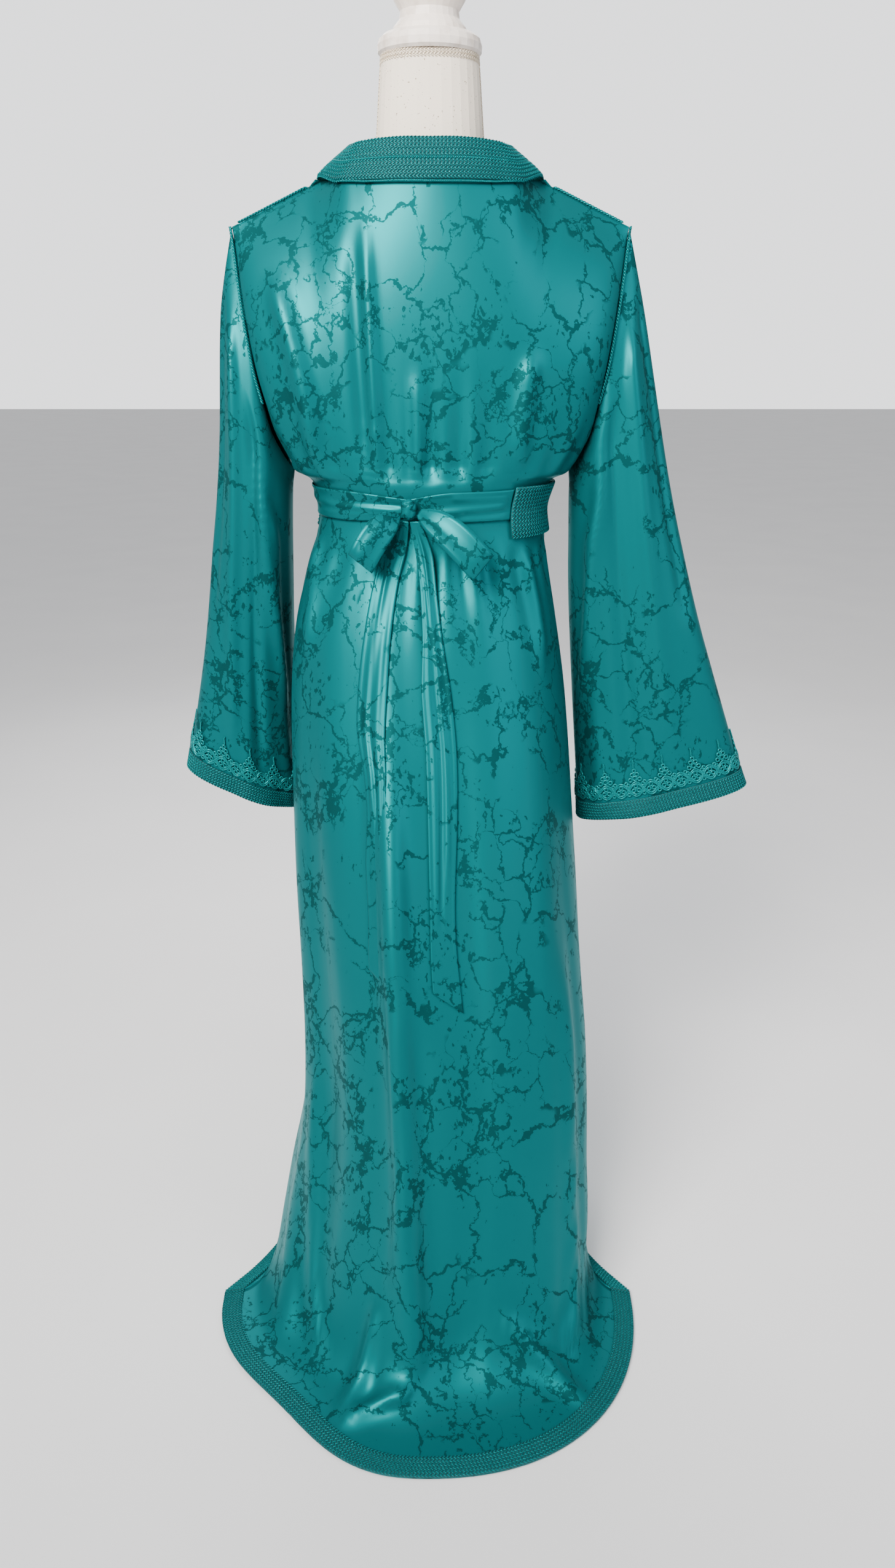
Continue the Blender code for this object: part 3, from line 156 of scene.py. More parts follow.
@dataclass(frozen=True)
class JacquardSatin:
    """Polyester jacquard satin: a glossy warp-faced ground with a duller figure of cracks, tone on tone."""

    name: str = "jacquard_satin_teal"
    shift: float = 0.0
    ground: str = "#006468"
    figure: str = "#004244"
    vein_cell_mm: float = 95.0
    vein_width: float = 0.040
    vein_keep: float = 0.40
    twig_cell_mm: float = 42.0
    twig_width: float = 0.055
    twig_keep: float = 0.47
    twig_shift: float = 3.7
    speck_mm: float = 7.0
    slub_mm: float = 0.8
    ground_gloss: float = 0.40
    figure_gloss: float = 0.55
    metallic: float = 0.50

    def veins(self, look: Look, cell_mm: float, width: float, keep: float, shift: float) -> NodeSocket:
        """Return one net of broken, wandering cracks.

        Args:
            look: the material in the making.
            cell_mm: size of the cells between the cracks.
            width: crack width as a share of a cell.
            keep: how much of the net is left, as a noise level.
            shift: offset that gives each net its own layout.

        Returns:
            1 on a crack and 0 beside it.
        """
        tree = look.tree
        away = (shift, 0.7 * shift, 1.3 * shift)
        moved = add(tree, "ShaderNodeMapping", {"Vector": look.place, "Location": away})
        slow = add(tree, "ShaderNodeTexNoise", {"Vector": moved.outputs[0], "Scale": 1000.0 / cell_mm * 1.4,
                                                "Detail": 6.0, "Roughness": 0.62})
        middle = (0.5, 0.5, 0.5)
        bend = add(tree, "ShaderNodeVectorMath", {0: slow.outputs["Color"], 1: middle}, operation="SUBTRACT")
        reach = cell_mm * MM * 1.15
        bend = add(tree, "ShaderNodeVectorMath", {0: bend.outputs[0], "Scale": reach}, operation="SCALE")
        bent = add(tree, "ShaderNodeVectorMath", {0: moved.outputs[0], 1: bend.outputs[0]}, operation="ADD")
        net = add(tree, "ShaderNodeTexVoronoi", {"Vector": look.stretch(0.72, bent.outputs[0]),
                                                 "Scale": 1000.0 / cell_mm}, feature="DISTANCE_TO_EDGE")
        swell = look.noise(1000.0 / 26.0, 4.0, 0.7, moved.outputs[0])
        edge = combine(tree, "MULTIPLY", ramp(tree, swell, 0.32, 0.72), width)
        line = combine(tree, "LESS_THAN", net.outputs["Distance"], edge)
        gaps = look.noise(1000.0 / 9.0, 3.0, at=moved.outputs[0])
        return combine(tree, "MULTIPLY", line, ramp(tree, gaps, keep, keep + 0.03))

    def specks(self, look: Look) -> NodeSocket:
        """Return scattered specks and small blotches, a little longer than wide, in loose patches."""
        fine = look.noise(self.speck_mm, 3.0, 0.6, look.stretch(0.55))
        patch = look.noise(1000.0 / 13.0)
        level = combine(look.tree, "MULTIPLY", ramp(look.tree, patch, 0.46, 0.68), 0.15)
        return combine(look.tree, "GREATER_THAN", fine, combine(look.tree, "SUBTRACT", 0.72, level))

    def build(self) -> Material:
        """Return the material."""
        look = Look(self.name)
        large = self.veins(look, self.vein_cell_mm, self.vein_width, self.vein_keep, self.shift)
        twigs = self.shift + self.twig_shift
        small = self.veins(look, self.twig_cell_mm, self.twig_width, self.twig_keep, twigs)
        mask = combine(look.tree, "MAXIMUM", combine(look.tree, "MAXIMUM", large, small), self.specks(look))
        look.mix(mask, self.ground, self.figure)
        look.gloss(mask, self.ground_gloss, self.figure_gloss)
        # Threads are about 0.1 mm and too fine to show, so the slubs are drawn at 0.8 mm.
        look.bump(look.noise(self.slub_mm, at=look.stretch(0.25)), 0.06, 0.0002)
        return look.set({"Sheen Weight": 0.04, "Sheen Roughness": 0.4, "Sheen Tint": "#40D0D0",
                         "Specular IOR Level": 0.3, "Specular Tint": "#60E0E0", "Metallic": self.metallic})


@dataclass(frozen=True)
class SilkBraid:
    """Rayon silk cord, plaited by hand: smooth parallel filaments with a bright sheen, and painted shade
    where its relief is low.
    """

    name: str = "silk_cord_teal"
    thread: str = "#007D80"
    # painted shade: the colour given to the low parts of the relief
    valley_shade: str = "#004E50"
    gleam: str = "#60E0E0"
    filament_mm: float = 0.7

    def build(self) -> Material:
        """Return the material."""
        look = Look(self.name)
        tone = look.noise(self.filament_mm)
        # The same noise sets the relief's height and the colour, so the low parts between filaments get
        # painted shade.
        look.mix(ramp(look.tree, tone, 0.3, 0.7), self.valley_shade, self.thread)
        look.bump(tone, 0.15, 0.0002)
        return look.set({"Roughness": 0.30, "Specular IOR Level": 0.4, "Specular Tint": self.gleam,
                         "Metallic": 0.35})


@dataclass(frozen=True)
class TapeCloth:
    """Woven cotton tape under the plaits, in painted shade: its colour is darker to stand for the plaits'
    shadow on it.
    """

    # painted shade: the tape's teal, made darker for the shadow that the plaits cast on it
    tape: str = "#00474A"
    thread_mm: float = 0.9

    def build(self) -> Material:
        """Return the material, made once."""
        if "cotton_tape_painted_shade" in bpy.data.materials:
            return bpy.data.materials["cotton_tape_painted_shade"]
        look = Look("cotton_tape_painted_shade")
        look.bump(look.noise(self.thread_mm), 0.2, 0.0002)
        return look.set({"Base Color": self.tape, "Roughness": 0.8})


@dataclass(frozen=True)
class Linen:
    """Natural linen stretched over foam: a plain matt weave with a few dark flax flecks."""

    cloth: str = "#F4E9D8"
    fleck: str = "#8C7B66"
    thread_mm: float = 1.1
    fleck_mm: float = 2.2

    def build(self) -> Material:
        """Return the material."""
        look = Look("linen_cream")
        look.mix(ramp(look.tree, look.noise(self.fleck_mm, 1.0), 0.70, 0.76), self.cloth, self.fleck)
        # Linen thread is about 0.4 mm; it is drawn at 1.1 mm so that the weave shows.
        look.bump(look.noise(self.thread_mm), 0.25, 0.0003)
        return look.set({"Roughness": 0.9})


@dataclass(frozen=True)
class PaintedBeech:
    """Turned beech under satin enamel: nearly plain cream, with a faint unevenness from the brush."""

    paint: str = "#F8EEE4"
    worn: str = "#DDD0C4"
    brush_mm: float = 14.0

    def build(self) -> Material:
        """Return the material."""
        look = Look("painted_beech_cream")
        tone = look.noise(self.brush_mm, 5.0)
        look.mix(ramp(look.tree, tone, 0.45, 0.8), self.paint, self.worn)
        look.bump(tone, 0.08, 0.0004)
        return look.set({"Roughness": 0.38})


@dataclass(frozen=True)
class BrushedSteel:
    """Steel tube, brushed along its length: fine lines that spread the highlight."""

    metal: str = "#A8A9AB"
    line_mm: float = 0.6

    def build(self) -> Material:
        """Return the material."""
        look = Look("brushed_steel")
        look.gloss(look.noise(self.line_mm, at=look.stretch(0.02)), 0.26, 0.42)
        return look.set({"Base Color": self.metal, "Metallic": 1.0})


@dataclass(frozen=True)
class StudioFloor:
    """Matt cotton backing sheet: pale grey-white with no pattern of its own."""

    cloth: str = "#E6E6E8"
    light: str = "#EFEFF0"
    patch_mm: float = 1000.0 / 3.0

    def build(self) -> Material:
        """Return the material."""
        look = Look("cotton_sheet_pale")
        look.mix(look.noise(self.patch_mm), self.cloth, self.light)
        return look.set({"Roughness": 0.95})


def unit(vectors: np.ndarray) -> np.ndarray:
    """Scale vectors to length one."""
    return vectors / np.maximum(np.linalg.norm(vectors, axis=-1, keepdims=True), 1e-12)


def lengths(line: np.ndarray) -> np.ndarray:
    """Return how far along a polyline each of its points lies."""
    return np.concatenate([[0.0], np.cumsum(np.linalg.norm(np.diff(line, axis=0), axis=1))])


def read_along(spots: np.ndarray, places: np.ndarray, values: np.ndarray) -> np.ndarray:
    """Read points at the given spots, straight between the places where they are known."""
    return np.stack([np.interp(spots, places, values[:, axis]) for axis in range(3)], axis=1)


def smooth(values: np.ndarray, places: np.ndarray, closed: bool = False) -> np.ndarray:
    """Read rows at fractional places on a smooth curve through them.

    Args:
        values: one row for each whole place.
        places: where to read.
        closed: whether the last row leads back to the first.

    Returns:
        One row for each place.
    """
    count = len(values)
    if closed:
        slopes = (np.roll(values, -1, axis=0) - np.roll(values, 1, axis=0)) / 2.0
        low = np.floor(places).astype(int)
        part = places - low
        low, high = low % count, (low + 1) % count
    else:
        slopes = np.gradient(values, axis=0)
        low = np.clip(np.floor(places).astype(int), 0, count - 2)
        part = places - low
        high = low + 1
    part = part.reshape((-1,) + (1,) * (values.ndim - 1))
    square, cube = part**2, part**3
    near, far = 2 * cube - 3 * square + 1, 3 * square - 2 * cube
    leave, arrive = cube - 2 * square + part, cube - square
    return near * values[low] + far * values[high] + leave * slopes[low] + arrive * slopes[high]


class Pick(Enum):
    """How the outer skin of a wall is told from the inner one."""

    LARGER = "the skin with more area, as on anything that curves round the body"
    BACKWARD = "the skin that faces the back, as on a ribbon that hangs free"


class Edge(Enum):
    """Which edge of a cloth a trim starts from."""

    TOP = "first row"
    BOTTOM = "last row"
    SIDE = "first column"


@dataclass
class ClothGrid:
    """The outer points of one packed cloth wall, in rows of columns.

    The first row is the side that lies furthest along first_row, and its first point the one furthest along
    first_column.
    """

    node: str
    rows: int
    columns: int
    wall_mm: float
    first_row: tuple = (0.0, 0.0, 1.0)
    first_column: tuple = (1.0, 0.0, 0.0)
    closed: bool = False
    pick: Pick = Pick.LARGER
    points: np.ndarray = field(init=False, repr=False)
    side: float = field(init=False, default=1.0)

    def __post_init__(self) -> None:
        """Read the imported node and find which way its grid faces."""
        work = bmesh.new()
        skin = self.outer_skin(work)
        order = self.closed_rows(skin) if self.closed else self.open_rows(skin)
        if [len(row) for row in order] != [self.columns] * self.rows:
            raise ValueError(f"{self.node} isn't a grid of {self.rows} by {self.columns}")
        self.points = np.array([spots_of(row) for row in order])
        facing = np.array([[vertex.normal[:] for vertex in row] for row in order])
        self.side = math.copysign(1.0, float(np.sum(self.normals(self.points) * facing)))
        work.free()

    def outer_skin(self, work: BMesh) -> set:
        """Return the vertices of the wall's outer skin."""
        work.from_mesh(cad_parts[self.node].data)
        bmesh.ops.remove_doubles(work, verts=work.verts, dist=1e-5)
        wall = self.wall_mm * MM
        rims = []
        for face in work.faces:
            lengths = [edge.calc_length() for edge in face.edges]
            if max(lengths) < 2.0 * wall or min(abs(length - wall) for length in lengths) < 2e-5:
                rims.append(face)
        bmesh.ops.delete(work, geom=rims, context="FACES")
        work.normal_update()
        work.verts.index_update()
        left = set(work.verts)
        best, best_score = set(), -1e9
        while left:
            skin, edge_of = set(), [left.pop()]
            while edge_of:
                vertex = edge_of.pop()
                skin.add(vertex)
                near = {edge.other_vert(vertex) for edge in vertex.link_edges} & left
                left -= near
                edge_of.extend(near)
            faces = {face for vertex in skin for face in vertex.link_faces}
            if self.pick is Pick.LARGER:
                score = math.fsum(face.calc_area() for face in faces)
            else:
                score = math.fsum(face.normal.y * face.calc_area() for face in faces)
            if score > best_score:
                best, best_score = skin, score
        return best

    def ring_of(self, start: BMVert, allowed: Callable[[BMEdge], bool]) -> list:
        """Return the vertices of a closed walk from start, over the edges that allowed accepts."""
        path, used = [start], {start}
        while True:
            ahead = [edge.other_vert(path[-1]) for edge in path[-1].link_edges if allowed(edge)]
            ahead = [vertex for vertex in ahead if vertex not in used]
            if not ahead:
                return path
            path.append(ahead[0])
            used.add(ahead[0])

    def open_rows(self, skin: set) -> list:
        """Return the vertices of a four-sided skin, row by row."""
        # The lowest number, and not any vertex of the set, so that every run reads the same grid.
        start = min((vertex for vertex in skin if vertex.is_boundary), key=lambda vertex: vertex.index)
        ring = self.ring_of(start, lambda edge: edge.is_boundary)
        spots = spots_of(ring)
        ahead = unit(np.roll(spots, -1, axis=0) - spots)
        turns = 1.0 - np.sum(ahead * np.roll(ahead, 1, axis=0), axis=1)
        short, long, total = self.columns - 1, self.rows - 1, len(ring)
        scores = [sum(turns[(k + step) % total] for step in (0, short, short + long, 2 * short + long))
                  for k in range(total)]
        corner = int(np.argmax(scores))
        ring = ring[corner:] + ring[:corner]
        side = [ring[-number] for number in range(self.rows)]
        rows, used = [ring[: self.columns]], set(ring[: self.columns])
        for first in side[1:]:
            near = {edge.other_vert(vertex) for vertex in rows[-1] for edge in vertex.link_edges} - used
            after = [first]
            while len(after) < self.columns:
                beside = {edge.other_vert(after[-1]) for edge in after[-1].link_edges} & near - set(after)
                after.append(beside.pop())
            rows.append(after)
            used |= set(after)
        down, across = Vector(self.first_row), Vector(self.first_column)
        if sum(v.co.dot(down) for v in rows[0]) < sum(v.co.dot(down) for v in rows[-1]):
            rows = rows[::-1]
        if rows[0][0].co.dot(across) < rows[0][-1].co.dot(across):
            rows = [row[::-1] for row in rows]
        return rows

    def closed_rows(self, skin: set) -> list:
        """Return the vertices of a tube's skin, ring by ring, from its top and first towards the back."""
        top = max((v for v in skin if v.is_boundary), key=lambda vertex: vertex.co.z)
        row = self.ring_of(top, lambda edge: edge.is_boundary)
        if row[1].co.y < row[-1].co.y:
            row = row[:1] + row[:0:-1]
        rows, used = [row], set(row)
        while len(rows) < self.rows:
            near = {edge.other_vert(vertex) for vertex in rows[-1] for edge in vertex.link_edges} - used
            first = min(near, key=lambda vertex: vertex.index)
            ring = self.ring_of(first, lambda edge: set(edge.verts) <= near)
            above = spots_of(rows[-1])
            turned = [way[k:] + way[:k] for way in (ring, ring[::-1]) for k in range(len(ring))]
            rows.append(min(turned, key=lambda way: float(np.sum((spots_of(way) - above) ** 2))))
            used |= near
        return rows

    def surface(self, rows: np.ndarray, columns: np.ndarray) -> np.ndarray:
        """Read the cloth at every pair of fractional rows and columns."""
        half = smooth(self.points, rows)
        return smooth(half.transpose(1, 0, 2), columns, self.closed).transpose(1, 0, 2)

    def normals(self, points: np.ndarray) -> np.ndarray:
        """Return the outward directions of a grid of points read from this cloth."""
        down = np.gradient(points, axis=0)
        if self.closed:
            along = np.roll(points, -1, axis=1) - np.roll(points, 1, axis=1)
        else:
            along = np.gradient(points, axis=1)
        return unit(np.cross(along, down)) * self.side

    def fine(self, down: int, across: int) -> np.ndarray:
        """Read the whole cloth with this many steps down and across to each of the grid's own."""
        rows = np.linspace(0.0, self.rows - 1.0, (self.rows - 1) * down + 1)
        if self.closed:
            return self.surface(rows, np.linspace(0.0, self.columns, self.columns * across, endpoint=False))
        return self.surface(rows, np.linspace(0.0, self.columns - 1.0, (self.columns - 1) * across + 1))


@dataclass(frozen=True)
class Crease:
    """One soft ridge (positive height) or trough (negative) along a line on the cloth, in millimetres."""

    path: tuple
    width: float
    height: float
    fade: float = 0.25

    def lift(self, points: np.ndarray) -> np.ndarray:
        """Return how far each point moves out along its normal."""
        places = np.linspace(0.0, len(self.path) - 1.0, 10 * len(self.path))
        line = smooth(np.array(self.path, dtype=float) * MM, places)
        flat = points.reshape(-1, 3)
        width = self.width * MM
        low = line.min(axis=0) - 3.0 * width
        high = line.max(axis=0) + 3.0 * width
        near = np.flatnonzero(((flat > low) & (flat < high)).all(axis=1))
        result = np.zeros(len(flat))
        if len(near) == 0:
            return result.reshape(points.shape[:-1])
        gaps = np.linalg.norm(flat[near][:, None, :] - line[None, :, :], axis=2)
        nearest = gaps.argmin(axis=1)
        along = nearest / (len(line) - 1.0)
        ends = np.clip(np.minimum(along, 1.0 - along) / self.fade, 0.0, 1.0)
        ends = ends * ends * (3.0 - 2.0 * ends)
        result[near] = self.height * MM * ends * np.exp(-((gaps.min(axis=1) / width) ** 2))
        return result.reshape(points.shape[:-1])


@dataclass(frozen=True)
class Gathers:
    """Small uneven folds that fan out from where the belt draws the cloth in."""

    belt_low: float = 0.969
    belt_high: float = 1.031
    reach: float = 0.085
    depth: float = 0.0060
    folds: float = 16.0

    def lift(self, points: np.ndarray) -> np.ndarray:
        """Return how far each point moves; under the belt itself nothing moves."""
        turn = np.arctan2(points[..., 1], points[..., 0])
        z = points[..., 2]
        away = np.maximum(z - self.belt_high, self.belt_low - z)
        rise = np.clip(away / 0.024, 0.0, 1.0) ** 1.5
        fall = np.exp(-((np.maximum(away, 0.0) / self.reach) ** 2))
        uneven = 1.9 * np.sin(3.0 * turn + 0.7) + 1.1 * np.sin(5.0 * turn + 2.1)
        wave = 0.6 * np.sin(self.folds * turn + uneven) + 0.4 * np.sin(self.folds * 1.63 * turn - uneven)
        weight = 0.65 + 0.35 * np.sin(4.0 * turn + 1.3)
        return self.depth * weight * rise * fall * (wave - 0.7)


def link(thing: Object) -> Object:
    """Put a new object in the scene."""
    bpy.context.scene.collection.objects.link(thing)
    return thing


def select(*pieces: Object) -> None:
    """Select these pieces alone; the first becomes active."""
    bpy.ops.object.select_all(action="DESELECT")
    for piece in pieces:
        piece.select_set(True)
    bpy.context.view_layer.objects.active = pieces[0]


def spots_of(vertices: Iterable) -> np.ndarray:
    """Return the places of some vertices."""
    return np.array([vertex.co[:] for vertex in vertices])


def mesh_object(name: str, points: np.ndarray, faces: np.ndarray | list) -> Object:
    """Make a smooth-shaded object at the origin from points and faces."""
    mesh = bpy.data.meshes.new(name)
    corners = [tuple(map(int, face)) for face in faces]
    mesh.from_pydata([tuple(map(float, point)) for point in points], [], corners)
    mesh.polygons.foreach_set("use_smooth", [True] * len(mesh.polygons))
    mesh.update()
    return link(bpy.data.objects.new(name, mesh))


def grid_faces(rows: int, columns: int, closed: bool, start: int, flip: bool) -> np.ndarray:
    """Return the quads between rows and columns of points."""
    across = np.arange(columns if closed else columns - 1)
    row, column = np.meshgrid(np.arange(rows - 1), across, indexing="ij")
    after = (column + 1) % columns
    here, below = row * columns, (row + 1) * columns
    corners = [here + column, here + after, below + after, below + column]
    quads = np.stack([corner.ravel() for corner in corners], axis=1) + start
    return quads[:, ::-1] if flip else quads


def thin_shell(name: str, outer: np.ndarray, normals: np.ndarray, thickness: float, closed: bool,
               side: float) -> Object:
    """Make a closed thin cloth wall below a grid of outer points.

    Args:
        name: the piece's name.
        outer: rows and columns of outer points.
        normals: outward directions of those points.
        thickness: the cloth's thickness in metres.
        closed: whether each row is a ring.
        side: the grid's own facing, which gives the faces' winding.

    Returns:
        The new piece.
    """
    rows, columns = outer.shape[:2]
    count = rows * columns
    points = np.concatenate([outer.reshape(-1, 3), (outer - normals * thickness).reshape(-1, 3)])
    flip = side < 0.0
    faces = [grid_faces(rows, columns, closed, 0, flip), grid_faces(rows, columns, closed, count, not flip)]
    index = np.arange(count).reshape(rows, columns)
    borders = []
    for ring, turned in ((index[0], False), (index[-1], True)):
        ring = np.append(ring, ring[0]) if closed else ring
        borders.append((ring, turned))
    if not closed:
        borders += [(index[:, 0], True), (index[:, -1], False)]
    for ring, turned in borders:
        quads = np.stack([ring[1:], ring[:-1], ring[:-1] + count, ring[1:] + count], axis=1)
        faces.append(quads[:, ::-1] if turned != flip else quads)
    return mesh_object(name, points, np.concatenate(faces))


def dress(piece: Object, material: Material | None, slot: str, *nodes: str) -> Object:
    """Give a finished piece its material, if any, and its body, hide the nodes that it stands for, and log
    its faces.
    """
    if material:
        piece.data.materials.clear()
        piece.data.materials.append(material)
    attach(piece, BODY)
    if nodes:
        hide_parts(*nodes)
    LOG.info("%s: %d faces", piece.name, len(piece.data.polygons))
    return piece


def edit_primitive(piece: Object) -> None:
    """Select one piece alone and open it for editing."""
    select(piece)
    bpy.ops.object.mode_set(mode="EDIT")
    bpy.ops.mesh.select_all(action="SELECT")


def stitch_shape() -> tuple[np.ndarray, np.ndarray]:
    """Model one stitch of a plait as a long soft grain, one unit long, and return its points and faces."""
    bpy.ops.object.select_all(action="DESELECT")
    bpy.ops.mesh.primitive_uv_sphere_add(segments=5, ring_count=3, radius=0.5)
    grain = bpy.context.object
    edit_primitive(grain)
    bpy.ops.transform.rotate(value=math.pi / 2.0, orient_axis="Y", center_override=(0.0, 0.0, 0.0))
    bpy.ops.object.mode_set(mode="OBJECT")
    points = spots_of(grain.data.vertices)
    faces = [tuple(polygon.vertices) for polygon in grain.data.polygons]
    triangles = [(face[0], face[i], face[i + 1]) for face in faces for i in range(1, len(face) - 1)]
    bpy.data.objects.remove(grain, do_unlink=True)
    return points, np.array(triangles)


@dataclass
class Plait:
    """Rows of two-strand chain plait laid on a strip of cloth, stitch beside stitch.

    lines holds one polyline of points for each row, and outs their outward directions.
    """

    name: str
    lines: list
    outs: list
    row_width: float
    pitch: float = 0.0040
    height: float = 0.0020
    slant_deg: float = 32.0

    def build(self, shape: tuple[np.ndarray, np.ndarray]) -> Object:
        """Place every stitch and join them in one piece."""
        template, triangles = shape
        points, faces, count = [], [], 0
        slant = math.radians(self.slant_deg)
        for line, out in zip(self.lines, self.outs):
            length = lengths(line)
            number = max(2, int(length[-1] / self.pitch))
            spots = (np.arange(number) + 0.5) * length[-1] / number
            centre = read_along(spots, length, line)
            up = unit(read_along(spots, length, out))
            ahead = unit(read_along(spots, length, np.gradient(line, axis=0)))
            across = unit(np.cross(up, ahead))
            for hand in (-1.0, 1.0):
                lean = ahead * math.cos(slant) + across * hand * math.sin(slant)
                beside = unit(np.cross(up, lean))
                middle = centre + across * hand * self.row_width * 0.20
                size = (self.pitch * 1.50, self.row_width * 0.36, self.height)
                stitch = (
                    middle[:, None, :]
                    + lean[:, None, :] * template[None, :, 0:1] * size[0]
                    + beside[:, None, :] * template[None, :, 1:2] * size[1]
                    + up[:, None, :] * template[None, :, 2:3] * size[2]
                )
                points.append(stitch.reshape(-1, 3))
                shift = count + np.arange(number)[:, None, None] * len(template)
                faces.append((triangles[None] + shift).reshape(-1, 3))
                count += number * len(template)
        return mesh_object(self.name, np.concatenate(points), np.concatenate(faces))


@dataclass
class CordWork:
    """Round cords along given lines, made as one curve object and turned to a mesh."""

    name: str
    lines: list
    radius: float
    resolution: int = 1

    def build(self) -> Object:
        """Return the cords as one mesh piece."""
        curve = bpy.data.curves.new(self.name, "CURVE")
        curve.dimensions = "3D"
        curve.bevel_depth = self.radius
        curve.bevel_resolution = self.resolution
        curve.use_fill_caps = True
        for line in self.lines:
            spline = curve.splines.new("POLY")
            spline.points.add(len(line) - 1)
            spline.points.foreach_set("co", np.column_stack([line, np.ones(len(line))]).ravel())
        select(link(bpy.data.objects.new(self.name, curve)))
        bpy.ops.object.convert(target="MESH")
        thing = bpy.context.object
        thing.data.polygons.foreach_set("use_smooth", [True] * len(thing.data.polygons))
        return thing


def twist(line: np.ndarray, out: np.ndarray, radius: float, pitch: float, strands: int = 2) -> list:
    """Return the helical strands of a plied cord round a line."""
    length = lengths(line)
    spots = np.linspace(0.0, length[-1], int(length[-1] / (pitch / 7.0)))
    centre = read_along(spots, length, line)
    up = unit(read_along(spots, length, out))
    beside = unit(np.cross(np.gradient(centre, axis=0), up))
    result = []
    for strand in range(strands):
        turn = (2.0 * math.pi * (spots / pitch + strand / strands))[:, None]
        result.append(centre + radius * (up * np.sin(turn) + beside * np.cos(turn)))
    return result


@dataclass(frozen=True)
class Fold:
    """One lengthwise fold in a cloth's own rows and columns: its height in metres, the rest as shares."""

    start: tuple
    end: tuple
    width: float
    height: float

    def lift(self, rows: int, columns: int) -> np.ndarray:
        """Return how far each point of a rows by columns grid moves out."""
        down = np.linspace(0.0, 1.0, rows)[:, None]
        across = np.linspace(0.0, 1.0, columns)[None, :]
        part = np.clip((down - self.start[0]) / (self.end[0] - self.start[0]), 0.0, 1.0)
        middle = self.start[1] + (self.end[1] - self.start[1]) * part
        ends = np.clip(np.minimum(part, 1.0 - part) / 0.15, 0.0, 1.0)
        ends = ends * ends * (3.0 - 2.0 * ends)
        return self.height * ends * np.exp(-(((across - middle) / self.width) ** 2))


@dataclass
class Cloth:
    """One cloth panel or tube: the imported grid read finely, with its creases."""

    grid: ClothGrid
    creases: tuple = ()
    gathers: Gathers | None = None
    folds: tuple = ()
    down: int = 5
    across: int = 5
    slot: str = "satin"
    flat: tuple = (1.0, 1.0)
    area: float = 1.0
    held: str = "hung"
    rests_on: tuple = ("form_torso",)
    points: np.ndarray = field(init=False, repr=False)
    outs: np.ndarray = field(init=False, repr=False)

    def __post_init__(self) -> None:
        """Lift the fine points along the cloth's own directions."""
        base = self.grid.fine(self.down, self.across)
        outs = self.grid.normals(base)
        lift = np.zeros(base.shape[:2])
        for crease in self.creases:
            lift += crease.lift(base)
        for fold in self.folds:
            lift += fold.lift(*base.shape[:2])
        if self.gathers:
            lift += self.gathers.lift(base)
        self.points = base + outs * lift[..., None]
        self.points[..., 2] = np.maximum(self.points[..., 2], FLOOR_GAP)
        self.outs = self.grid.normals(self.points)

    def meet(self, seam: np.ndarray, reach: float = 0.006, rows: int = 12) -> None:
        """Bring the top edge onto another cloth's edge where they are sewn, fading out over some rows."""
        order = np.argsort(seam[:, 0])
        seam = seam[order]
        edge = self.points[0]
        gap = read_along(edge[:, 0], seam[:, 0], seam) - edge
        gap[np.linalg.norm(gap, axis=1) > reach] = 0.0
        for row in range(rows):
            self.points[row] += gap * (1.0 - row / rows)
        self.outs = self.grid.normals(self.points)

    def measure(self) -> tuple:
        """Return the widest row, the longest column and the area, in metres."""
        return measure(self.points, self.grid.closed)

    def build(self, material: Material, name: str) -> Object:
        """Make the thin cloth shell."""
        shell = thin_shell(name, self.points, self.outs, SATIN_WALL, self.grid.closed, self.grid.side)
        return dress(shell, material, self.slot, self.grid.node)

    def declare(self, shell: Object, trims: list) -> None:
        """Log how large this cloth was cut: its widest row, longest column and area."""
        LOG.info("%s: widest row, longest column, area: %s", self.grid.node, self.measure())

    def edge(self, side: Edge) -> tuple[np.ndarray, np.ndarray]:
        """Return points and directions with the chosen edge first."""
        points, outs = self.points, self.outs
        if side is Edge.BOTTOM:
            points, outs = points[::-1], outs[::-1]
        elif side is Edge.SIDE:
            points, outs = points.transpose(1, 0, 2), outs.transpose(1, 0, 2)
        if self.grid.closed:
            points = np.concatenate([points, points[:, :1]], axis=1)
            outs = np.concatenate([outs, outs[:, :1]], axis=1)
        return points, outs


def measure(points: np.ndarray, closed: bool) -> tuple:
    """Return a cloth's widest row, its longest column and its area, in metres and square metres."""
    if closed:
        points = np.concatenate([points, points[:, :1]], axis=1)
    wide = np.linalg.norm(np.diff(points, axis=1), axis=2).sum(axis=1).max()
    long = np.linalg.norm(np.diff(points, axis=0), axis=2).sum(axis=0).max()
    one, two = points[1:, 1:] - points[:-1, :-1], points[1:, :-1] - points[:-1, 1:]
    area = np.linalg.norm(np.cross(one, two), axis=2).sum() / 2.0
    return round(float(wide), 3), round(float(long), 3), round(float(area), 4)


def inward_lines(points: np.ndarray, outs: np.ndarray, distances: np.ndarray, lift: float) -> tuple:
    """Return lines that run beside an edge of a cloth, at given distances from it.

    Args:
        points: cloth points, the edge's row first.
        outs: their outward directions.
        distances: how far each line lies from the edge, in metres.
        lift: how far the lines stand off the cloth.

    Returns:
        Lines and their outward directions, each as distances by columns.
    """
    lines, ways = [], []
    for column in range(points.shape[1]):
        length = lengths(points[:, column])
        lines.append(read_along(distances, length, points[:, column]))
        ways.append(read_along(distances, length, outs[:, column]))
    ways = unit(np.stack(ways, axis=1))
    return np.stack(lines, axis=1) + ways * lift, ways


